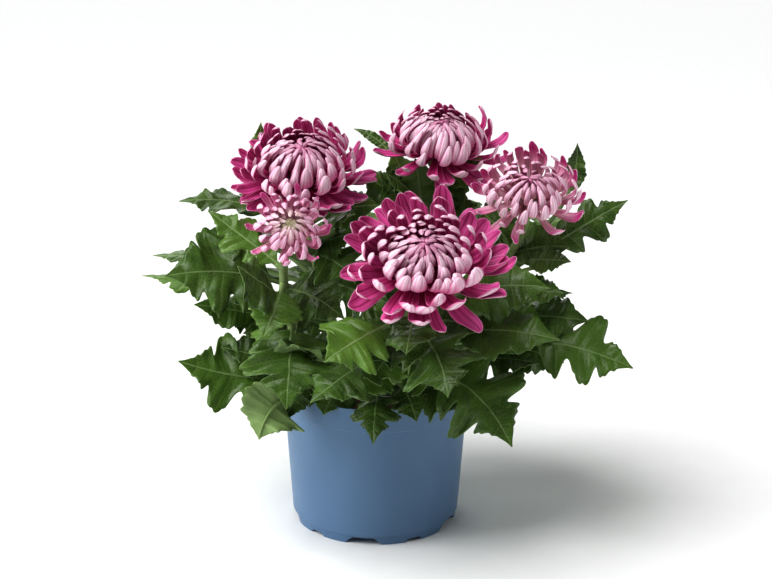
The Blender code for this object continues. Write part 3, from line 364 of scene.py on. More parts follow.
# Leaves of each stem: height of the joint on the stem, tip, blade length, width,
# lean of the upper face (x, y), bow of the midrib (x, y, z), outline
LEAVES = {
    "left": (
        (200, (-136, 22, 220), 64, 36, (0, -0.5), (0, 0, 14), BROAD),
        (176, (-120, 20, 197), 46, 40, (0, -0.6), (0, 0, 14), OVAL),
        (160, (-162, 62, 170), 72, 34, (0, -0.4), (0, 0, 16), BROAD),
        (150, (-141, -22, 179), 76, 76, (0, -1.5), (0, 0, 18), BROAD),
        (134, (-168, 48, 159), 72, 24, (0, -0.2), (0, 0, 18), BROAD),
        (208, (-82, -2, 224), 30, 22, (0, -0.6), (0, -4, 4), OVAL),
        (188, (-82, 60, 268), 40, 16, (0, -1.2), (-20, 34, -8), OVAL),
        (200, (-14, -20, 222), 34, 28, (0, -0.8), (0, 0, 6), OVAL),
        (184, (-14, -14, 172), 58, 50, (0, -1.6), (6, -10, 14), BROAD),
        (128, (-96, -14, 158), 34, 28, (0, -0.7), (0, 0, 8), OVAL),
        (196, (-98, 72, 214), 58, 46, (-0.2, 0.3), (0, 0, 14), BROAD),
        (166, (-108, 98, 178), 70, 54, (-0.2, 0.4), (0, 0, 20), BROAD),
        (140, (-82, 122, 140), 74, 56, (-0.2, 0.5), (0, 6, 26), BROAD),
        (114, (-98, 60, 98), 50, 40, (-0.3, 0), (0, 0, 20), BROAD),
        (110, (-88, 92, 92), 62, 54, (-0.2, 0.4), (0, 0, 30), BROAD),
        (152, (-40, 84, 158), 50, 46, (0, 0.8), (0, 0, 12), OVAL),
        (206, (2, 6, 222), 44, 34, (0, -0.9), (0, 0, 6), OVAL),
        (168, (10, -20, 160), 56, 48, (0, -1.4), (0, -10, 8), BROAD),
        (108, (-56, 46, 98), 46, 40, (-0.3, 0.3), (0, 0, 16), OVAL),
        (136, (-78, 10, 132), 52, 44, (0, -0.8), (0, 0, 10), BROAD),
        (128, (-106, -6, 147), 48, 46, (0, -1.0), (0, 0, 8), BROAD),
        (120, (-90, -18, 138), 40, 36, (0, -1.0), (0, 0, 8), OVAL),
        (182, (-40, -18, 206), 40, 38, (0, -1.1), (0, 0, 4), OVAL),
        (188, (-14, -8, 204), 40, 32, (0, -1.0), (0, 0, 4), OVAL),
        (132, (-124, -8, 155), 44, 30, (0, -1.0), (0, 0, 6), OVAL),
    ),
    "young": (
        (194, (-110, -30, 226), 58, 36, (0, -0.6), (0, 0, 0), BROAD),
        (170, (-86, -84, 204), 44, 44, (0, -0.9), (6, -16, 4), OVAL),
        (178, (-20, -66, 164), 50, 46, (0, -0.8), (0, -6, 14), BROAD),
        (152, (-56, -98, 114), 68, 64, (0, -0.4), (0, -16, 16), BROAD),
        (108, (-130, -50, 129), 66, 62, (0, -1.2), (0, -6, -16), BROAD),
        (108, (-76, -70, 82), 50, 50, (0.4, 3.0), (-18, -22, 24), OVAL),
        (104, (-60, -54, 88), 34, 28, (0, -0.4), (0, -8, 32), OVAL),
        (100, (-44, -52, 98), 42, 38, (0, -0.6), (0, 0, 14), OVAL),
        (140, (-78, -66, 140), 46, 44, (0, -0.9), (0, -4, 8), BROAD),
        (134, (-24, -58, 140), 44, 42, (0, -0.9), (0, -4, 8), OVAL),
        (112, (-104, -30, 132), 42, 34, (0, -0.9), (0, -2, 6), OVAL),
        (184, (-70, -92, 160), 42, 36, (0, -1.4), (0, -12, 8), OVAL),
        (130, (-48, -92, 154), 42, 38, (0, -1.2), (0, -12, 4), OVAL),
        (98, (-34, -64, 97), 34, 34, (0, -0.8), (0, -6, 14), OVAL),
    ),
    "front": (
        (138, (-40, -112, 124), 62, 50, (0, -0.8), (0, -14, 14), BROAD),
        (164, (-31, -118, 153), 54, 50, (0, -0.8), (0, -14, 10), BROAD),
        (172, (19, -120, 159), 46, 36, (0, -0.5), (0, -12, 6), OVAL),
        (158, (45, -122, 132), 62, 54, (0, -0.5), (6, -18, 14), BROAD),
        (108, (-1, -92, 88), 50, 36, (0, -0.5), (0, -18, 26), BROAD),
        (112, (27, -80, 99), 34, 26, (0, -0.5), (0, -14, 18), OVAL),
        (150, (68, -70, 157), 42, 34, (0, -0.8), (0, 0, 12), OVAL),
        (118, (88, -92, 87), 78, 64, (0, -0.9), (14, -12, 38), BROAD),
        (166, (112, -60, 184), 64, 44, (0, -0.8), (0, 4, 10), OVAL),
        (142, (118, -76, 154), 72, 50, (0, -0.9), (0, -2, 14), OVAL),
        (124, (-22, -78, 112), 50, 42, (0, -0.7), (0, -8, 16), OVAL),
        (132, (-2, -90, 130), 44, 40, (0, -0.9), (0, -4, 8), OVAL),
        (100, (28, -58, 102), 42, 38, (0, -0.6), (0, 0, 14), OVAL),
        (126, (54, -74, 122), 50, 46, (0, -0.8), (0, -4, 12), BROAD),
        (146, (40, -100, 150), 44, 40, (0, -0.9), (0, -6, 8), OVAL),
        (152, (-6, -96, 146), 50, 46, (0, -0.9), (0, -6, 8), OVAL),
        (148, (10, -96, 140), 48, 44, (0, -0.8), (0, -6, 10), OVAL),
        (110, (70, -70, 106), 50, 46, (0, -0.8), (0, -4, 14), OVAL),
        (152, (-18, -66, 158), 44, 40, (0, -0.9), (0, -4, 4), OVAL),
    ),
    "right": (
        (165, (124, -32, 172), 34, 28, (0, -0.6), (0, 0, 6), OVAL),
        (146, (143, -24, 150), 52, 44, (0, -0.8), (0, 0, 12), OVAL),
        (120, (170, -50, 126), 70, 62, (0, -1.1), (0, -6, 24), BROAD),
        (116, (128, -20, 119), 48, 42, (0, -0.9), (0, 0, 18), OVAL),
        (128, (92, -40, 132), 44, 40, (0, -0.8), (0, -4, 12), OVAL),
        (188, (136, 22, 262), 40, 16, (0, -1.0), (22, 26, -8), OVAL),
        (172, (170, 8, 226), 62, 34, (0, -0.9), (0, 6, 6), BROAD),
        (184, (129, -26, 192), 32, 24, (0, -0.6), (0, 0, 6), OVAL),
        (194, (66, 2, 222), 30, 26, (0, -0.8), (0, 0, 4), OVAL),
        (182, (64, -34, 190), 44, 42, (0, -1.1), (4, -6, 8), OVAL),
        (140, (140, 48, 148), 62, 46, (0.2, 0.2), (0, 0, 14), BROAD),
        (126, (134, 84, 130), 72, 54, (0.2, 0.3), (0, 0, 18), BROAD),
        (108, (112, 56, 94), 62, 48, (0.3, 0.2), (0, 0, 28), BROAD),
        (182, (142, 58, 204), 56, 44, (0.2, 0.2), (0, 0, 10), BROAD),
        (138, (88, 60, 150), 48, 44, (0.1, 0.8), (0, 0, 12), OVAL),
        (104, (76, 84, 88), 52, 46, (0.1, 0.4), (0, 0, 34), OVAL),
        (186, (78, 22, 226), 38, 30, (0, -1.0), (0, 0, 4), OVAL),
        (178, (98, 14, 200), 40, 34, (0, -1.0), (0, 0, 6), OVAL),
        (100, (64, -44, 100), 44, 40, (0, -0.6), (0, 0, 16), OVAL),
        (150, (112, -30, 150), 46, 42, (0, -0.9), (0, 0, 10), OVAL),
        (132, (120, 10, 124), 56, 48, (0, -0.5), (0, 0, 14), BROAD),
        (116, (110, -30, 122), 50, 42, (0, -0.9), (0, 0, 12), BROAD),
        (190, (130, -8, 197), 46, 36, (0, -1.0), (0, 0, 4), OVAL),
    ),
    "rear": (
        (202, (-17, 76, 261), 40, 9, (0, -1.0), (2, 6, 20), OVAL),
        (198, (16, 4, 232), 34, 30, (0, -0.8), (0, 0, 2), OVAL),
        (194, (2, 32, 236), 44, 36, (0, -0.7), (0, 0, 0), OVAL),
        (122, (52, -22, 142), 52, 44, (0, -1.0), (0, 0, 14), OVAL),
        (190, (76, 96, 202), 58, 46, (0.2, 0.3), (0, 0, 16), BROAD),
        (172, (12, 116, 190), 68, 52, (0, 0.4), (0, 0, 18), BROAD),
        (150, (92, 108, 160), 72, 54, (0.2, 0.4), (0, 0, 22), BROAD),
        (132, (-22, 130, 140), 76, 56, (0, 0.5), (0, 0, 28), BROAD),
        (116, (54, 128, 112), 76, 58, (0.1, 0.5), (0, 6, 34), BROAD),
        (106, (-16, 112, 90), 60, 54, (0, 0.5), (0, 6, 34), BROAD),
        (184, (-40, 100, 206), 56, 46, (-0.1, 0.4), (0, 0, 12), BROAD),
        (140, (36, 96, 134), 48, 44, (0, 0.8), (0, 0, 16), OVAL),
        (212, (6, 16, 242), 32, 28, (0, -0.9), (0, -4, 2), OVAL),
        (200, (74, 8, 217), 38, 30, (0, -0.8), (0, 0, 4), OVAL),
        (206, (10, 56, 250), 46, 40, (0, -1.0), (0, 0, 2), OVAL),
        (194, (26, 26, 250), 48, 42, (0, -1.1), (0, 0, 2), OVAL),
        (190, (60, 38, 246), 46, 40, (0, -1.0), (0, 0, 2), OVAL),
        (198, (10, 28, 244), 44, 34, (0, -1.0), (0, 0, 2), OVAL),
        (112, (36, 82, 98), 48, 42, (0, 0.5), (0, 0, 20), OVAL),
        (178, (24, -6, 196), 46, 42, (0, -1.1), (0, 0, 6), OVAL),
        (146, (4, 18, 176), 50, 46, (0, -0.8), (0, 0, 10), OVAL),
        (200, (-12, 24, 240), 40, 30, (0, -1.2), (0, 0, 6), OVAL),
        (214, (72, 30, 250), 34, 26, (0, -1.0), (0, 0, 2), OVAL),
    ),
}


def leaf_material(name, dark, light, young, vein, roughness, vein_strength):
    """A leaf's skin: mottled between two greens, younger on some leaves, with veins in their own colour."""
    material, tree, shader = new_material(name, roughness, 1.4)
    place = add_node(tree, "TexCoord", {}).outputs["Object"]
    mottle = add_node(tree, "TexNoise", {"Vector": place, "Scale": 70.0, "Detail": 4.0, "Roughness": 0.6})
    spread = add_node(tree, "MapRange", {0: mottle.outputs[0], 1: 0.35, 2: 0.65})
    greens = add_node(
        tree, "Mix", {0: spread.outputs[0], 6: linear(dark), 7: linear(light)}, data_type="RGBA")
    tone = add_node(tree, "Attribute", {}, attribute_name="tone").outputs["Fac"]
    aged = add_node(tree, "Mix", {0: tone, 6: greens.outputs[2], 7: linear(young)}, data_type="RGBA")
    cells = add_node(tree, "TexVoronoi", {"Vector": place, "Scale": 520.0}, feature="DISTANCE_TO_EDGE")
    net = add_node(tree, "MapRange", {0: cells.outputs[0], 1: 0.0, 2: 0.12, 3: 0.22, 4: 0.0})
    netted = add_node(
        tree, "Mix", {0: net.outputs[0], 6: aged.outputs[2], 7: linear(vein)}, data_type="RGBA")
    colour = netted.outputs[2]
    for attribute, breadth in (("rib_mm", 0.6), ("vein_mm", 0.45)):
        distance = add_node(tree, "Attribute", {}, attribute_name=attribute).outputs["Fac"]
        line = add_node(
            tree, "MapRange", {0: distance, 1: breadth * 0.2, 2: breadth, 3: vein_strength, 4: 0.0},
            interpolation_type="SMOOTHSTEP")
        colour = add_node(tree, "Mix", {0: line.outputs[0], 6: colour, 7: linear(vein)}, data_type="RGBA").outputs[2]
    bumps = add_node(tree, "Math", {0: cells.outputs[0], 1: mottle.outputs[0]}, operation="ADD")
    relief = add_node(tree, "Bump", {"Height": bumps.outputs[0], "Strength": 0.35, "Distance": 0.0005})
    gloss = add_node(tree, "MapRange", {0: mottle.outputs[0], 1: 0.3, 2: 0.7, 3: roughness - 0.08, 4: roughness + 0.1})
    tree.links.new(colour, shader.inputs["Base Color"])
    tree.links.new(gloss.outputs[0], shader.inputs["Roughness"])
    tree.links.new(relief.outputs[0], shader.inputs["Normal"])
    return material


# Waxy upper skin: dark green with soft broken highlights and fine pale veins
leaf_upper = leaf_material("waxy_leaf_upper", "#253D18", "#446421", "#5E8230", "#90A65E", 0.31, 0.3)
# Downy underside: paler and duller, with the veins standing out
leaf_under = leaf_material("downy_leaf_underside", "#587344", "#748E56", "#859E62", "#9DAF7C", 0.65, 0.45)


def point_at_height(points, height):
    """The place on a stem at a height over the ground."""
    low, high = 0.0, 1.0
    for _ in range(30):
        middle = (low + high) / 2
        if along_path(points, middle).z < height:
            low = middle
        else:
            high = middle
    return along_path(points, low)


def add_leaf(bm, layers, joint, tip, blade, width, lean, bow, outline, draw):
    """One leaf: a sheet whose rows run slanting from the midrib to the edge, and the midrib under it."""
    start, end = Vector(joint), Vector(tip)
    middle = (start + end) / 2 + Vector(bow)
    up = Vector((lean[0], lean[1], 1))
    length = ((middle - start).length + (end - middle).length + (end - start).length) / 2
    petiole = max(1 - blade / length, LEAST_PETIOLE)
    tone = draw.random() ** 3
    phases = {side: draw.random() for side in (-1, 0, 1)}
    cup = draw.uniform(*LEAF_CUPS)
    roll = math.radians(draw.uniform(-LEAF_ROLL, LEAF_ROLL))
    sway = length * draw.uniform(-LEAF_SWAY, LEAF_SWAY)
    stretch = {side: draw.uniform(0.94, 1.04) for side in (-1, 0, 1)}
    lifts = EDGE_LIFTS[outline]

    def frame_at(share):
        """Place, side direction and upper normal at a share of the whole leaf."""
        place = start * (1 - share) ** 2 + middle * 2 * share * (1 - share) + end * share * share
        along = ((middle - start) * (1 - share) + (end - middle) * share).normalized()
        normal = (up - along * up.dot(along)).normalized()
        side = normal.cross(along)
        place += side * sway * math.sin(math.pi * share)
        turn = roll * share
        return place, side * math.cos(turn) + normal * math.sin(turn), normal * math.cos(turn) - side * math.sin(turn)

    rows = [(petiole * row / PETIOLE_ROWS, petiole * row / PETIOLE_ROWS, PETIOLE_HALF_WIDTH, 0, 9, 0)
            for row in range(PETIOLE_ROWS)]
    for row in range(LEAF_ROWS + 1):
        rib, edge, share = along_path(outline, row / LEAF_ROWS)
        half = max(width / 2 * share, 0.15)
        vein = min(abs(rib - station) for station in SIDE_VEINS[outline]) * blade
        lift = float(np.interp(rib, *lifts))
        rows.append((petiole + (1 - petiole) * rib, petiole + (1 - petiole) * edge, half, lift, vein, rib))
    grid = bmesh.ops.create_grid(bm, x_segments=len(rows) - 1, y_segments=2 * LEAF_COLUMNS, size=1)["verts"]
    for vertex in grid:
        rib, edge, half, lift, vein, station = rows[round((vertex.co.x + 1) / 2 * (len(rows) - 1))]
        across = round(vertex.co.y * LEAF_COLUMNS) / LEAF_COLUMNS
        side_number = (across > 0) - (across < 0)
        out = abs(across)
        place, side, normal = frame_at(rib + (edge - rib) * out)
        rib_distance = out * half
        swell = PILLOW * min(1, min(rib_distance, vein) / PILLOW_BREADTH) ** 0.6 * min(1, station * 8)
        wave = sum(high * math.sin(2 * math.pi * (often * station + phases[side_number])) for often, high in LEAF_WAVES)
        spot = Vector((station * blade, across * half, 40 * tone)) + Vector(tip)
        wave += sum(high * noise.noise(spot / broad) for broad, high in LEAF_FOLDS)
        spread = min(1, rib_distance / WAVE_REACH)
        fold = lift * (FAR_EDGE_LIFT if across > 0 else 1) + cup * rib_distance / (width / 2)
        rise = fold * rib_distance + swell + wave * spread * min(1, 1.4 * spread)
        vertex.co = place + side * across * half * stretch[side_number] + normal * rise
        vertex[layers["rib_mm"]] = rib_distance
        vertex[layers["vein_mm"]] = vein * (1 + 0.5 * out)
        vertex[layers["tone"]] = tone
    shares = [0.97 * number / RIB_SPANS for number in range(RIB_SPANS + 1)]
    radii = [float(np.interp(share, *zip(*RIB_RADII))) for share in shares]
    points = []
    for share, radius in zip(shares, radii):
        place, _, normal = frame_at(share)
        points.append(place - normal * (radius * 0.85 + 0.2))
    rod = add_rod(bm, points, radii, RIB_SIDES, up)
    for vertex in rod:
        vertex[layers["rib_mm"]] = 0.5
        vertex[layers["vein_mm"]] = 9
        vertex[layers["tone"]] = tone
    for face in {face for vertex in rod for face in vertex.link_faces}:
        face.material_index = 1


for name, leaves in LEAVES.items():
    draw = random.Random("leaves " + name)
    bm = bmesh.new()
    layers = {label: bm.verts.layers.float.new(label) for label in ("rib_mm", "vein_mm", "tone")}
    for height, *leaf in leaves:
        add_leaf(bm, layers, point_at_height(STEMS[name], height), *leaf, draw)
    piece = make_piece(bm, "leaves_" + name, [leaf_upper, leaf_under], "leaf_green", "leafy_stem_" + name)
    thickness = piece.modifiers.new("Leaf thickness", "SOLIDIFY")
    thickness.thickness = LEAF_THICKNESS * MM
    thickness.offset = -1
    thickness.material_offset = 1
    thickness.material_offset_rim = 1

# Calyx
# The green cup under each flower, of small overlapping bracts round the widened end of the stem.
SEATS = {  # seat of the flower, lean to the front and to the right in degrees, radius of the cup
    "left": ((-50, 14, 236.5), 27.0, 0.0, 9.5),
    "rear": ((42, 42, 247.5), 19.0, 4.0, 9.0),
    "front": ((30, -78, 199), 38.0, 0.0, 10.0),
    "young": ((-55, -70, 220.7), 53.0, 10.0, 7.5),
    "right": ((100.5, -13, 227.5), 36.0, -3.0, 8.5),
}
CALYX_HEIGHT = 9.0
CALYX_FOOT_RADIUS = 3.2
BRACT_ROWS = ((0.25, 8, 0.55), (0.0, 11, 0.85), (-0.1, 13, 1.05))  # start of each row, bracts, reach of their tips
GOLDEN_ANGLE = 137.508

# Bract skin: green mottled with pale green
bract_skin, tree, shader = new_material("papery_bract", 0.55, 1.45)
place = add_node(tree, "TexCoord", {}).outputs["Object"]
mottle = add_node(tree, "TexNoise", {"Vector": place, "Scale": 300.0, "Detail": 3.0})
shade = add_node(
    tree, "Mix", {0: mottle.outputs[0], 6: linear("#4E7330"), 7: linear("#9DB56C")}, data_type="RGBA")
tree.links.new(shade.outputs[2], shader.inputs["Base Color"])


def seat_matrix(name):
    """Frame of a flower: Z along its axis, leaning to the front and to the right."""
    seat, lean_front, lean_right, _ = SEATS[name]
    to_the_right = Matrix.Rotation(math.radians(lean_right), 4, "Y")
    to_the_front = Matrix.Rotation(math.radians(lean_front), 4, "X")
    return Matrix.Translation(seat) @ to_the_right @ to_the_front


def add_bract(bm, matrix, turn, line, width):
    """A small pointed scale: line gives its (distance, height) from foot to tip."""
    spans = len(line) - 1
    grid = bmesh.ops.create_grid(bm, x_segments=spans, y_segments=2, size=1)["verts"]
    spin = Matrix.Rotation(math.radians(turn), 4, "Z")
    for vertex in grid:
        number = round((vertex.co.x + 1) / 2 * spans)
        share = number / spans
        half = width / 2 * math.sin(math.pi * min(0.2 + 0.8 * share, 0.97)) ** 0.7
        out, height = line[number]
        across = round(vertex.co.y)
        vertex.co = matrix @ spin @ Vector((out - 0.25 * half * abs(across), across * half, height))


for name, (_, _, _, cup_radius) in SEATS.items():
    matrix = seat_matrix(name)
    bm = bmesh.new()
    axis = [matrix @ Vector((0, 0, height)) for height in (-CALYX_HEIGHT, -6.0, -3.5, -1.5, -0.3, 0.0)]
    spread = [CALYX_FOOT_RADIUS + (cup_radius - CALYX_FOOT_RADIUS) * share for share in (0, 0.33, 0.62, 0.85, 0.95, 0.9)]
    add_rod(bm, axis, [radius * 0.96 for radius in spread], 24, Vector((1, 0, 0)))
    for begin, count, reach in BRACT_ROWS:
        for number in range(count):
            line = []
            for share in (0, 0.25, 0.5, 0.75, 1):
                height = -CALYX_HEIGHT * (1 - begin) + CALYX_HEIGHT * (reach - begin + 0.1) * share
                cone = CALYX_FOOT_RADIUS + (cup_radius - CALYX_FOOT_RADIUS) * min(1 + height / CALYX_HEIGHT, 1)
                line.append((cone + 0.4 + 0.5 * share, height))
            add_bract(bm, matrix, number * 360 / count + 17 * reach, line, 2.2 * math.pi * cup_radius / count)
    piece = make_piece(bm, "calyx_" + name, [bract_skin], "leaf_green", "leafy_stem_" + name)
    thickness = piece.modifiers.new("Bract thickness", "SOLIDIFY")
    thickness.thickness = 0.3 * MM
    thickness.offset = 0

# Bud
# A closed green flower bud on its own side shoot of the right stem, wrapped in bracts.
BUD_SHOOT = ((78, -4, 172), (96, -12, 181), (112, -15, 186))
BUD_RADIUS = 4.6
SHOOT_RADIUS = 1.3
bm = bmesh.new()
shares = [number / 12 for number in range(13)]
add_rod(bm, [along_path(BUD_SHOOT, share) for share in shares], [SHOOT_RADIUS] * 13, 10, Vector((0, 0, 1)))
bud_matrix = Matrix.Translation(BUD_SHOOT[-1]) @ Matrix.Rotation(math.radians(48), 4, "Y")
bmesh.ops.create_uvsphere(bm, u_segments=24, v_segments=14, radius=BUD_RADIUS * 0.88, matrix=bud_matrix)
for ring, (low, high, count) in enumerate(((150, 95, 7), (140, 60, 8), (120, 22, 9))):
    for number in range(count):
        line = []
        for share in (0, 0.25, 0.5, 0.75, 1):
            polar = math.radians(low + (high - low) * share)
            out = BUD_RADIUS * (0.92 + 0.05 * (2 - ring))
            line.append((out * math.sin(polar), out * math.cos(polar)))
        add_bract(bm, bud_matrix, number * 360 / count + 20 * ring, line, 4.2)
bud = make_piece(bm, "flower_bud", [bract_skin], "leaf_green", "leafy_stem_right")

# Blooms
# Decorative chrysanthemum heads: ray florets, deep magenta inside and pale pink outside. The outer ones spread
# like boats with hooded tips, and the inner ones curve over into a dome. They grow on the calyx in whorls, each
# turned on from the last, listed from the outermost: florets, reach from the core's centre, root angle, tip
# angle, width, hook of the tip, and how far the floret is an incurved strip instead of a boat. Angles are
# counted in degrees from the flower's axis.
BLOOMS = {  # core radius, core height over the seat, whorls
    "left": (14.0, 9.0, (
        (13, 42, 116, 106, 12.0, 35, 0.0), (15, 43, 106, 94, 10.5, 40, 0.0), (16, 42, 102, 82, 9.6, 35, 0.1),
        (16, 39.5, 98, 70, 9.0, 35, 0.3), (17, 36, 95, 59, 7.8, 30, 0.5), (17, 32.5, 92, 48, 6.8, 20, 0.8),
        (16, 29.5, 88, 38, 6.0, 15, 1.0), (15, 27, 80, 29, 5.4, 10, 1.0), (13, 25, 66, 20, 4.6, 5, 1.0),
        (10, 23.5, 50, 13, 4.0, 0, 1.0), (8, 22.8, 34, 7, 3.2, 0, 1.0), (5, 22.4, 16, 3, 2.6, 0, 1.0))),
    "rear": (13.0, 8.0, (
        (8, 38, 116, 106, 11.0, 50, 0.0), (12, 38, 104, 86, 9.5, 45, 0.3), (14, 36, 100, 66, 8.0, 30, 0.8),
        (17, 33.5, 98, 50, 6.4, 20, 1.0), (18, 30.5, 96, 39, 5.8, 15, 1.0), (18, 27.5, 92, 30, 5.2, 10, 1.0),
        (16, 25, 84, 23, 4.8, 5, 1.0), (13, 23.8, 70, 17, 4.2, 0, 1.0), (11, 23.2, 50, 12, 3.8, 0, 1.0),
        (8, 23.2, 28, 7, 3.4, 0, 1.0), (4, 23.4, 12, 2, 3.0, 0, 1.0))),
    "front": (13.0, 10.0, (
        (12, 47, 110, 98, 15.0, 25, 0.0), (13, 47, 104, 87, 14.5, 45, 0.0), (14, 42, 98, 76, 13.0, 80, 0.0),
        (15, 37, 92, 66, 10.8, 95, 0.2), (16, 32.5, 88, 56, 8.6, 65, 0.5), (17, 29, 84, 46, 6.8, 35, 0.9),
        (17, 26.5, 77, 37, 5.8, 15, 1.0), (15, 25, 68, 29, 5.0, 5, 1.0), (13, 24, 56, 21, 4.4, 0, 1.0),
        (11, 23, 42, 14, 3.8, 0, 1.0), (8, 22, 28, 8, 3.2, 0, 1.0), (5, 21.5, 14, 4, 2.6, 0, 1.0))),
    "young": (9.0, 6.5, (
        (8, 28, 104, 70, 4.6, -50, 0.4), (10, 26, 98, 58, 4.6, 20, 0.8), (12, 23, 92, 48, 4.6, 20, 1.0),
        (12, 20.5, 86, 39, 4.4, 15, 1.0), (12, 18, 78, 30, 4.0, 10, 1.0), (10, 16, 62, 21, 3.2, 5, 1.0))),
    "right": (10.5, 8.0, (
        (10, 37, 112, 94, 6.6, 30, 0.2), (12, 36, 102, 77, 6.6, 30, 0.2), (13, 34.5, 96, 61, 6.0, 20, 0.4),
        (14, 31.5, 90, 49, 5.4, 15, 0.7), (14, 28, 82, 38, 4.8, 10, 0.9), (13, 25, 68, 29, 4.2, 5, 1.0),
        (10, 22.5, 52, 20, 3.6, 0, 1.0), (8, 21, 34, 12, 3.0, 0, 1.0), (5, 20, 16, 6, 2.4, 0, 1.0))),
}
LOOSE_FLORETS = (  # bloom, direction round the axis in degrees, reach, root angle, tip angle, width
    ("front", -6, 55, 108, 88, 8.0), ("front", -82, 48, 110, 98, 8.0), ("rear", -88, 45, 110, 112, 9.0),
    ("rear", -52, 45, 110, 108, 9.0), ("rear", -10, 46, 108, 96, 9.0), ("rear", -32, 48, 110, 114, 9.0),
    ("rear", 4, 41, 98, 60, 9.0), ("rear", 18, 50, 104, 90, 8.0), ("rear", 12, 44, 84, 42, 7.0),
    ("left", 194, 46, 110, 98, 10.0), ("left", 212, 45, 110, 100, 10.0), ("left", -30, 44, 112, 106, 9.0),
)
DOME_FLATNESS = 0.84
ROOT_DEPTH = 0.6
CURL_POWERS = (1.4, 1.0)  # of boats and of strips
STRETCH_POWERS = (1.3, 2.6)
FLORET_THICKNESS = 0.4
FLORET_COLUMNS = 6
HOOK_START = 0.84
HOOK_LENGTH = 0.62  # of the hooded tip, against the floret's width
# Stations of a floret: share of its length, then share of its width and how far its section wraps round, in
# radians, for boats and for strips
FLORET = (
    (0.00, 0.34, 1.00, 0.50, 1.00), (0.14, 0.46, 1.05, 0.62, 1.00), (0.30, 0.66, 0.90, 0.84, 0.92),
    (0.46, 0.86, 0.72, 1.00, 0.85), (0.60, 0.98, 0.60, 1.00, 0.80), (0.73, 1.02, 0.60, 0.88, 0.78),
    (0.84, 0.98, 0.72, 0.68, 0.85), (0.92, 0.84, 0.95, 0.46, 0.95), (0.97, 0.60, 1.10, 0.26, 1.00),
    (1.00, 0.26, 1.10, 0.08, 1.00),
)
SWIRLS = (6.0, 6.0)  # degrees that the tips of boats and of strips lean round the flower's axis
WHORL_TURN = 47.0  # degrees from one whorl's first floret to the next one's
DIRECTION_CHANCE = 7.0
REACH_CHANCE = 3.0
TIP_CHANCE = 11.0
TWIST_CHANCE = 34.0
HOOK_CHANCE = 40.0
STRIP_CALM = 0.4


def petal_material(name, root_colour_and_shade, tip, vein_and_groove_shade, margin, heart, roughness, margin_start, tip_range):
    """A petal's skin: lengthwise veins, two grooves darkened with painted shade, a margin, and deeper on innermost
    florets.
    """
    material, tree, shader = new_material(name, roughness, 1.42)
    along, across, tone, inward = (
        add_node(tree, "Attribute", {}, attribute_name=label).outputs["Fac"]
        for label in ("along", "across", "tone", "inward"))
    wide = add_node(tree, "Math", {0: across}, operation="ABSOLUTE").outputs[0]
    # From root to tip; on the magenta inner face the darker roots are painted shade deep in the flower
    length = add_node(tree, "MapRange", {0: along, 1: tip_range[0], 2: tip_range[1]}).outputs[0]
    colour = add_node(tree, "Mix", {0: length, 6: linear(root_colour_and_shade), 7: linear(tip)}, data_type="RGBA").outputs[2]
    lines = add_node(tree, "CombineXYZ", {0: across, 1: along, 2: tone})
    stretched = add_node(tree, "Mapping", {"Vector": lines.outputs[0], "Scale": (7.0, 1.1, 40.0)})
    veins = add_node(tree, "TexNoise", {"Vector": stretched.outputs[0], "Scale": 1.0, "Detail": 2.0})
    vein_mask = add_node(tree, "MapRange", {0: veins.outputs[0], 1: 0.45, 2: 0.62, 3: 0.0, 4: 0.55})
    colour = add_node(tree, "Mix", {0: vein_mask.outputs[0], 6: colour, 7: linear(vein_and_groove_shade)}, data_type="RGBA").outputs[2]
    # Darker along the two grooves, which the bump below also sinks: painted shade in the grooves; the same colour tints
    # the veins
    off_groove = add_node(tree, "Math", {0: wide, 1: 0.36}, operation="SUBTRACT")
    off_groove = add_node(tree, "Math", {0: off_groove.outputs[0]}, operation="ABSOLUTE")
    groove_relief_and_shade_mask = add_node(
        tree, "MapRange", {0: off_groove.outputs[0], 1: 0.03, 2: 0.14, 3: 0.6, 4: 0.0}, interpolation_type="SMOOTHSTEP")
    colour = add_node(
        tree, "Mix", {0: groove_relief_and_shade_mask.outputs[0], 6: colour, 7: linear(vein_and_groove_shade)}, data_type="RGBA").outputs[2]
    margin_mask = add_node(
        tree, "MapRange", {0: wide, 1: margin_start, 2: 1.0, 3: 0.0, 4: 0.8}, interpolation_type="SMOOTHSTEP")
    colour = add_node(
        tree, "Mix", {0: margin_mask.outputs[0], 6: colour, 7: linear(margin)}, data_type="RGBA").outputs[2]
    heart_mask = add_node(tree, "MapRange", {0: inward, 1: 0.6, 2: 1.0, 3: 0.0, 4: 0.75})
    colour = add_node(
        tree, "Mix", {0: heart_mask.outputs[0], 6: colour, 7: linear(heart)}, data_type="RGBA").outputs[2]
    relief_height = add_node(
        tree, "Math", {0: groove_relief_and_shade_mask.outputs[0], 1: veins.outputs[0]}, operation="SUBTRACT")
    relief = add_node(
        tree, "Bump", {"Height": relief_height.outputs[0], "Strength": 0.35, "Distance": 0.0005}, invert=True)
    tree.links.new(colour, shader.inputs["Base Color"])
    tree.links.new(relief.outputs[0], shader.inputs["Normal"])
    shader.inputs["Sheen Weight"].default_value = 0.05
    shader.inputs["Sheen Roughness"].default_value = 0.4
    return material


# Magenta inner face: velvety and deep, with painted shade darkening its roots and its two grooves,
# and a thin pale margin
petal_inner = petal_material(
    "velvety_magenta_petal", "#C91E77", "#EA6AB4", "#A2115F", "#EFB0CF", "#C02A7A", 0.5, 0.92, (0.1, 0.8))
# Pale outer face: satin pink-white with fine pink veins and magenta edges
petal_outer = petal_material(
    "veined_pale_petal", "#D4589C", "#FBE2EC", "#E496C0", "#C63C88", "#D6649F", 0.45, 0.62, (0.05, 0.6))
# The small opening flower is pinker and softer, and creamy near its roots
young_inner = petal_material(
    "young_pink_petal", "#FCE4EA", "#E85CAA", "#D4509A", "#FBE0EC", "#F8E0DC", 0.5, 0.84, (0.15, 0.75))
young_outer = petal_material(
    "young_pale_petal", "#FBE4E8", "#FDE0EE", "#E47CB4", "#D2559C", "#FAE6E0", 0.45, 0.64, (0.1, 0.8))
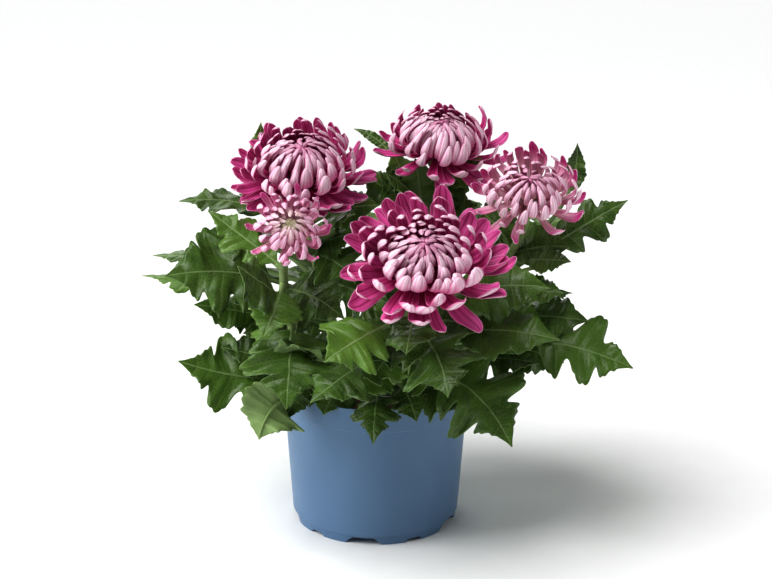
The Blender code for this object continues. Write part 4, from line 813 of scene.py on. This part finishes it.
# The half-open flower keeps cream roots under magenta tips
half_open_inner = petal_material(
    "cream_rooted_magenta_petal", "#FDE9EE", "#C92A88", "#DC6CA8", "#FBDAE8", "#E08AB6", 0.5, 0.86, (0.3, 0.75))
half_open_outer = petal_material(
    "cream_rooted_pale_petal", "#FCEFC6", "#FDE7F0", "#E58CBA", "#C8428E", "#D870A6", 0.45, 0.66, (0.15, 0.6))
PETALS = {
    "left": (petal_inner, petal_outer), "rear": (petal_inner, petal_outer), "front": (petal_inner, petal_outer),
    "young": (young_inner, young_outer), "right": (half_open_inner, half_open_outer),
}


def floret_line(core, reach, root_angle, tip_angle, hook, width, strip):
    """Middle line of a floret as (distance from the axis, height over the core) at each of its stations."""
    line = []
    curl = CURL_POWERS[0] + (CURL_POWERS[1] - CURL_POWERS[0]) * strip
    stretch = STRETCH_POWERS[0] + (STRETCH_POWERS[1] - STRETCH_POWERS[0]) * strip
    for share, *_ in FLORET:
        if share <= HOOK_START:
            run = share / HOOK_START
            angle = math.radians(root_angle + (tip_angle - root_angle) * run**curl)
            root = core * ROOT_DEPTH
            distance = root + (reach - root) * (1 - (1 - run) ** stretch)
            line.append(Vector((math.sin(angle) * distance, math.cos(angle) * distance * DOME_FLATNESS)))
            continue
        if share == FLORET[7][0]:
            direction = (line[-1] - line[-2]).normalized()
            hook_from = HOOK_START
        before = (hook_from - HOOK_START) / (1 - HOOK_START)
        now = (share - HOOK_START) / (1 - HOOK_START)
        bend = math.radians(hook) * (now + before) / 2
        heading = Vector((
            direction.x * math.cos(bend) - direction.y * math.sin(bend),
            direction.x * math.sin(bend) + direction.y * math.cos(bend)))
        line.append(line[-1] + heading * (now - before) * HOOK_LENGTH * width)
        hook_from = share
    return line


def add_floret(bm, layers, matrix, height, line, direction, width, twist, strip, inward, tone):
    """One ray floret: a cupped band along its line, with its upper face towards the flower's axis."""
    spans = len(FLORET) - 1
    tangents = [
        (line[min(number + 1, spans)] - line[max(number - 1, 0)]).normalized() for number in range(spans + 1)]
    swirl = SWIRLS[0] + (SWIRLS[1] - SWIRLS[0]) * strip
    grid = bmesh.ops.create_grid(bm, x_segments=spans, y_segments=FLORET_COLUMNS, size=1)["verts"]
    for vertex in grid:
        number = round((vertex.co.x + 1) / 2 * spans)
        share, boat_breadth, boat_wrap, strip_breadth, strip_wrap = FLORET[number]
        breadth = boat_breadth + (strip_breadth - boat_breadth) * strip
        wrap = boat_wrap + (strip_wrap - boat_wrap) * strip
        across = vertex.co.y
        half = width / 2 * breadth
        side = half * math.sin(across * wrap) / wrap
        rise = half * (1 - math.cos(across * wrap)) / wrap * 1.2
        turned = math.radians(twist) * share
        side, rise = side * math.cos(turned) - rise * math.sin(turned), side * math.sin(turned) + rise * math.cos(turned)
        place, along = line[number], tangents[number]
        point = Vector((place.x - along.y * rise, side, place.y + along.x * rise + height))
        spin = Matrix.Rotation(math.radians(direction + swirl * share * share), 4, "Z")
        vertex.co = matrix @ spin @ point
        vertex[layers["along"]] = share
        vertex[layers["across"]] = across
        vertex[layers["inward"]] = inward
        vertex[layers["tone"]] = tone


for name, (core, height, whorls) in BLOOMS.items():
    draw = random.Random(name)
    matrix = seat_matrix(name)
    bm = bmesh.new()
    layers = {label: bm.verts.layers.float.new(label) for label in ("along", "across", "inward", "tone")}
    for whorl, (count, reach, root_angle, tip_angle, width, hook, strip) in enumerate(whorls):
        loose = 1 - STRIP_CALM * strip
        inward = whorl / (len(whorls) - 1)
        for number in range(count):
            far = reach + REACH_CHANCE * draw.uniform(-1, 1) * loose
            end_angle = tip_angle + TIP_CHANCE * draw.uniform(-1, 1) * loose
            curl = hook + HOOK_CHANCE * draw.uniform(-1, 1) * loose
            line = floret_line(core, far, root_angle, end_angle, curl, width, strip)
            direction = WHORL_TURN * whorl + 360 / count * number + DIRECTION_CHANCE * draw.uniform(-1, 1) * loose
            twist = TWIST_CHANCE * draw.uniform(-1, 1) * loose
            broad = width * draw.uniform(0.88, 1.1)
            add_floret(bm, layers, matrix, height, line, direction, broad, twist, strip, inward, draw.random())
    for owner, direction, reach, root_angle, tip_angle, width in LOOSE_FLORETS:
        if owner == name:
            line = floret_line(core, reach, root_angle, tip_angle, 40, width, 0)
            add_floret(bm, layers, matrix, height, line, direction, width, 10, 0, 0, draw.random())
    slot = "petal_pink" if name in ("young", "right") else "petal_magenta"
    piece = make_piece(bm, "florets_" + name, PETALS[name], slot, "bloom_" + name)
    thickness = piece.modifiers.new("Petal thickness", "SOLIDIFY")
    thickness.thickness = FLORET_THICKNESS * MM
    thickness.offset = -1
    thickness.material_offset = 1
    thickness.material_offset_rim = 1

# Flower discs
# The middle of the two younger flowers: a low cushion of unopened disc florets, soft and cream green, packed
# in a golden-angle spiral on the core.
DISCS = {"young": (15.6, 4.4, 60, 0.8), "right": (13.0, 4.6, 44, 1.0)}  # height over the seat, radius, buds, bud size
disc_skin, tree, shader = new_material("cream_disc_florets", 0.6, 1.45)
place = add_node(tree, "TexCoord", {}).outputs["Object"]
mottle = add_node(tree, "TexNoise", {"Vector": place, "Scale": 500.0, "Detail": 2.0})
shade = add_node(
    tree, "Mix", {0: mottle.outputs[0], 6: linear("#DDD6AE"), 7: linear("#FAF5E4")}, data_type="RGBA")
tree.links.new(shade.outputs[2], shader.inputs["Base Color"])
for name, (height, radius, buds, size) in DISCS.items():
    bm = bmesh.new()
    lie = seat_matrix(name) @ Matrix.Translation((0, 0, height))
    cushion = Matrix.Diagonal((1, 1, 0.3, 1))
    bmesh.ops.create_uvsphere(bm, u_segments=32, v_segments=12, radius=radius, matrix=lie @ cushion)
    for bud in range(buds):
        share = math.sqrt((bud + 0.5) / buds)
        turn = math.radians(bud * GOLDEN_ANGLE)
        at = Matrix.Translation((
            radius * share * math.cos(turn), radius * share * math.sin(turn), 0.3 * radius * (1 - share**2) ** 0.5))
        stub = Matrix.Diagonal((size * (0.6 + 0.4 * share), size * (0.6 + 0.4 * share), 1.6 * size, 1))
        bmesh.ops.create_icosphere(bm, subdivisions=1, radius=1, matrix=lie @ at @ stub)
    make_piece(bm, "disc_" + name, [disc_skin], "petal_pink", "bloom_" + name)

# Studio
# A pale floor, a broad soft light high on the left, a soft box low on the left and a weaker one on the right,
# and the camera at the photograph's angle.
floor_finish, tree, shader = new_material("matt_white_floor", 0.9, 1.45)
place = add_node(tree, "TexCoord", {}).outputs["Object"]
paper = add_node(tree, "TexNoise", {"Vector": place, "Scale": 40.0})
shade = add_node(tree, "Mix", {0: paper.outputs[0], 6: linear("#F2F2F1"), 7: linear("#F6F6F6")}, data_type="RGBA")
tree.links.new(shade.outputs[2], shader.inputs["Base Color"])
bm = bmesh.new()
bmesh.ops.create_grid(bm, x_segments=1, y_segments=1, size=20)
mesh = bpy.data.meshes.new("floor")
bm.to_mesh(mesh)
bm.free()
mesh.materials.append(floor_finish)
floor = bpy.data.objects.new("floor", mesh)
bpy.context.scene.collection.objects.link(floor)

PRINT_GAMMA = 0.82  # a little contrast, as in a catalogue print
world = bpy.data.worlds.new("Studio")
world.use_nodes = True
world.node_tree.nodes["Background"].inputs["Color"].default_value = (0.95, 0.97, 1.0, 1)
world.node_tree.nodes["Background"].inputs["Strength"].default_value = 0.16
bpy.context.scene.world = world
bpy.context.scene.view_settings.view_transform = "Standard"
bpy.context.scene.view_settings.gamma = PRINT_GAMMA

LIGHTS = (  # name, kind, place, size in metres or degrees across, power
    ("overhead", "SUN", (-0.6, -0.3, 1.5), 45.0, 2.85),
    ("left_box", "AREA", (-1.4, -0.25, 0.55), 0.8, 14.0),
    ("right_box", "AREA", (1.4, 0.1, 0.5), 0.8, 4.0),
    ("behind", "SUN", (-0.4, 1.5, 1.0), 40.0, 0.8),
)
target = Vector((0, 0, 0.15))
for name, kind, place, size, power in LIGHTS:
    light = bpy.data.lights.new(name, kind)
    light.energy = power
    if kind == "SUN":
        light.angle = math.radians(size)
    else:
        light.size = size
    lamp = bpy.data.objects.new(name, light)
    lamp.location = place
    lamp.rotation_euler = (target - Vector(place)).to_track_quat("-Z", "Y").to_euler()
    bpy.context.scene.collection.objects.link(lamp)

camera = bpy.data.objects.new("camera", bpy.data.cameras.new("camera"))
camera.data.lens = 71.16
camera.data.sensor_width = 36
camera.matrix_world = (
    Matrix.Translation((0.0066, -1.0, 0.464))
    @ Matrix.Rotation(math.radians(73.31), 4, "X")
    @ Matrix.Rotation(math.radians(0.37), 4, "Z"))
bpy.context.scene.collection.objects.link(camera)
bpy.context.scene.camera = camera
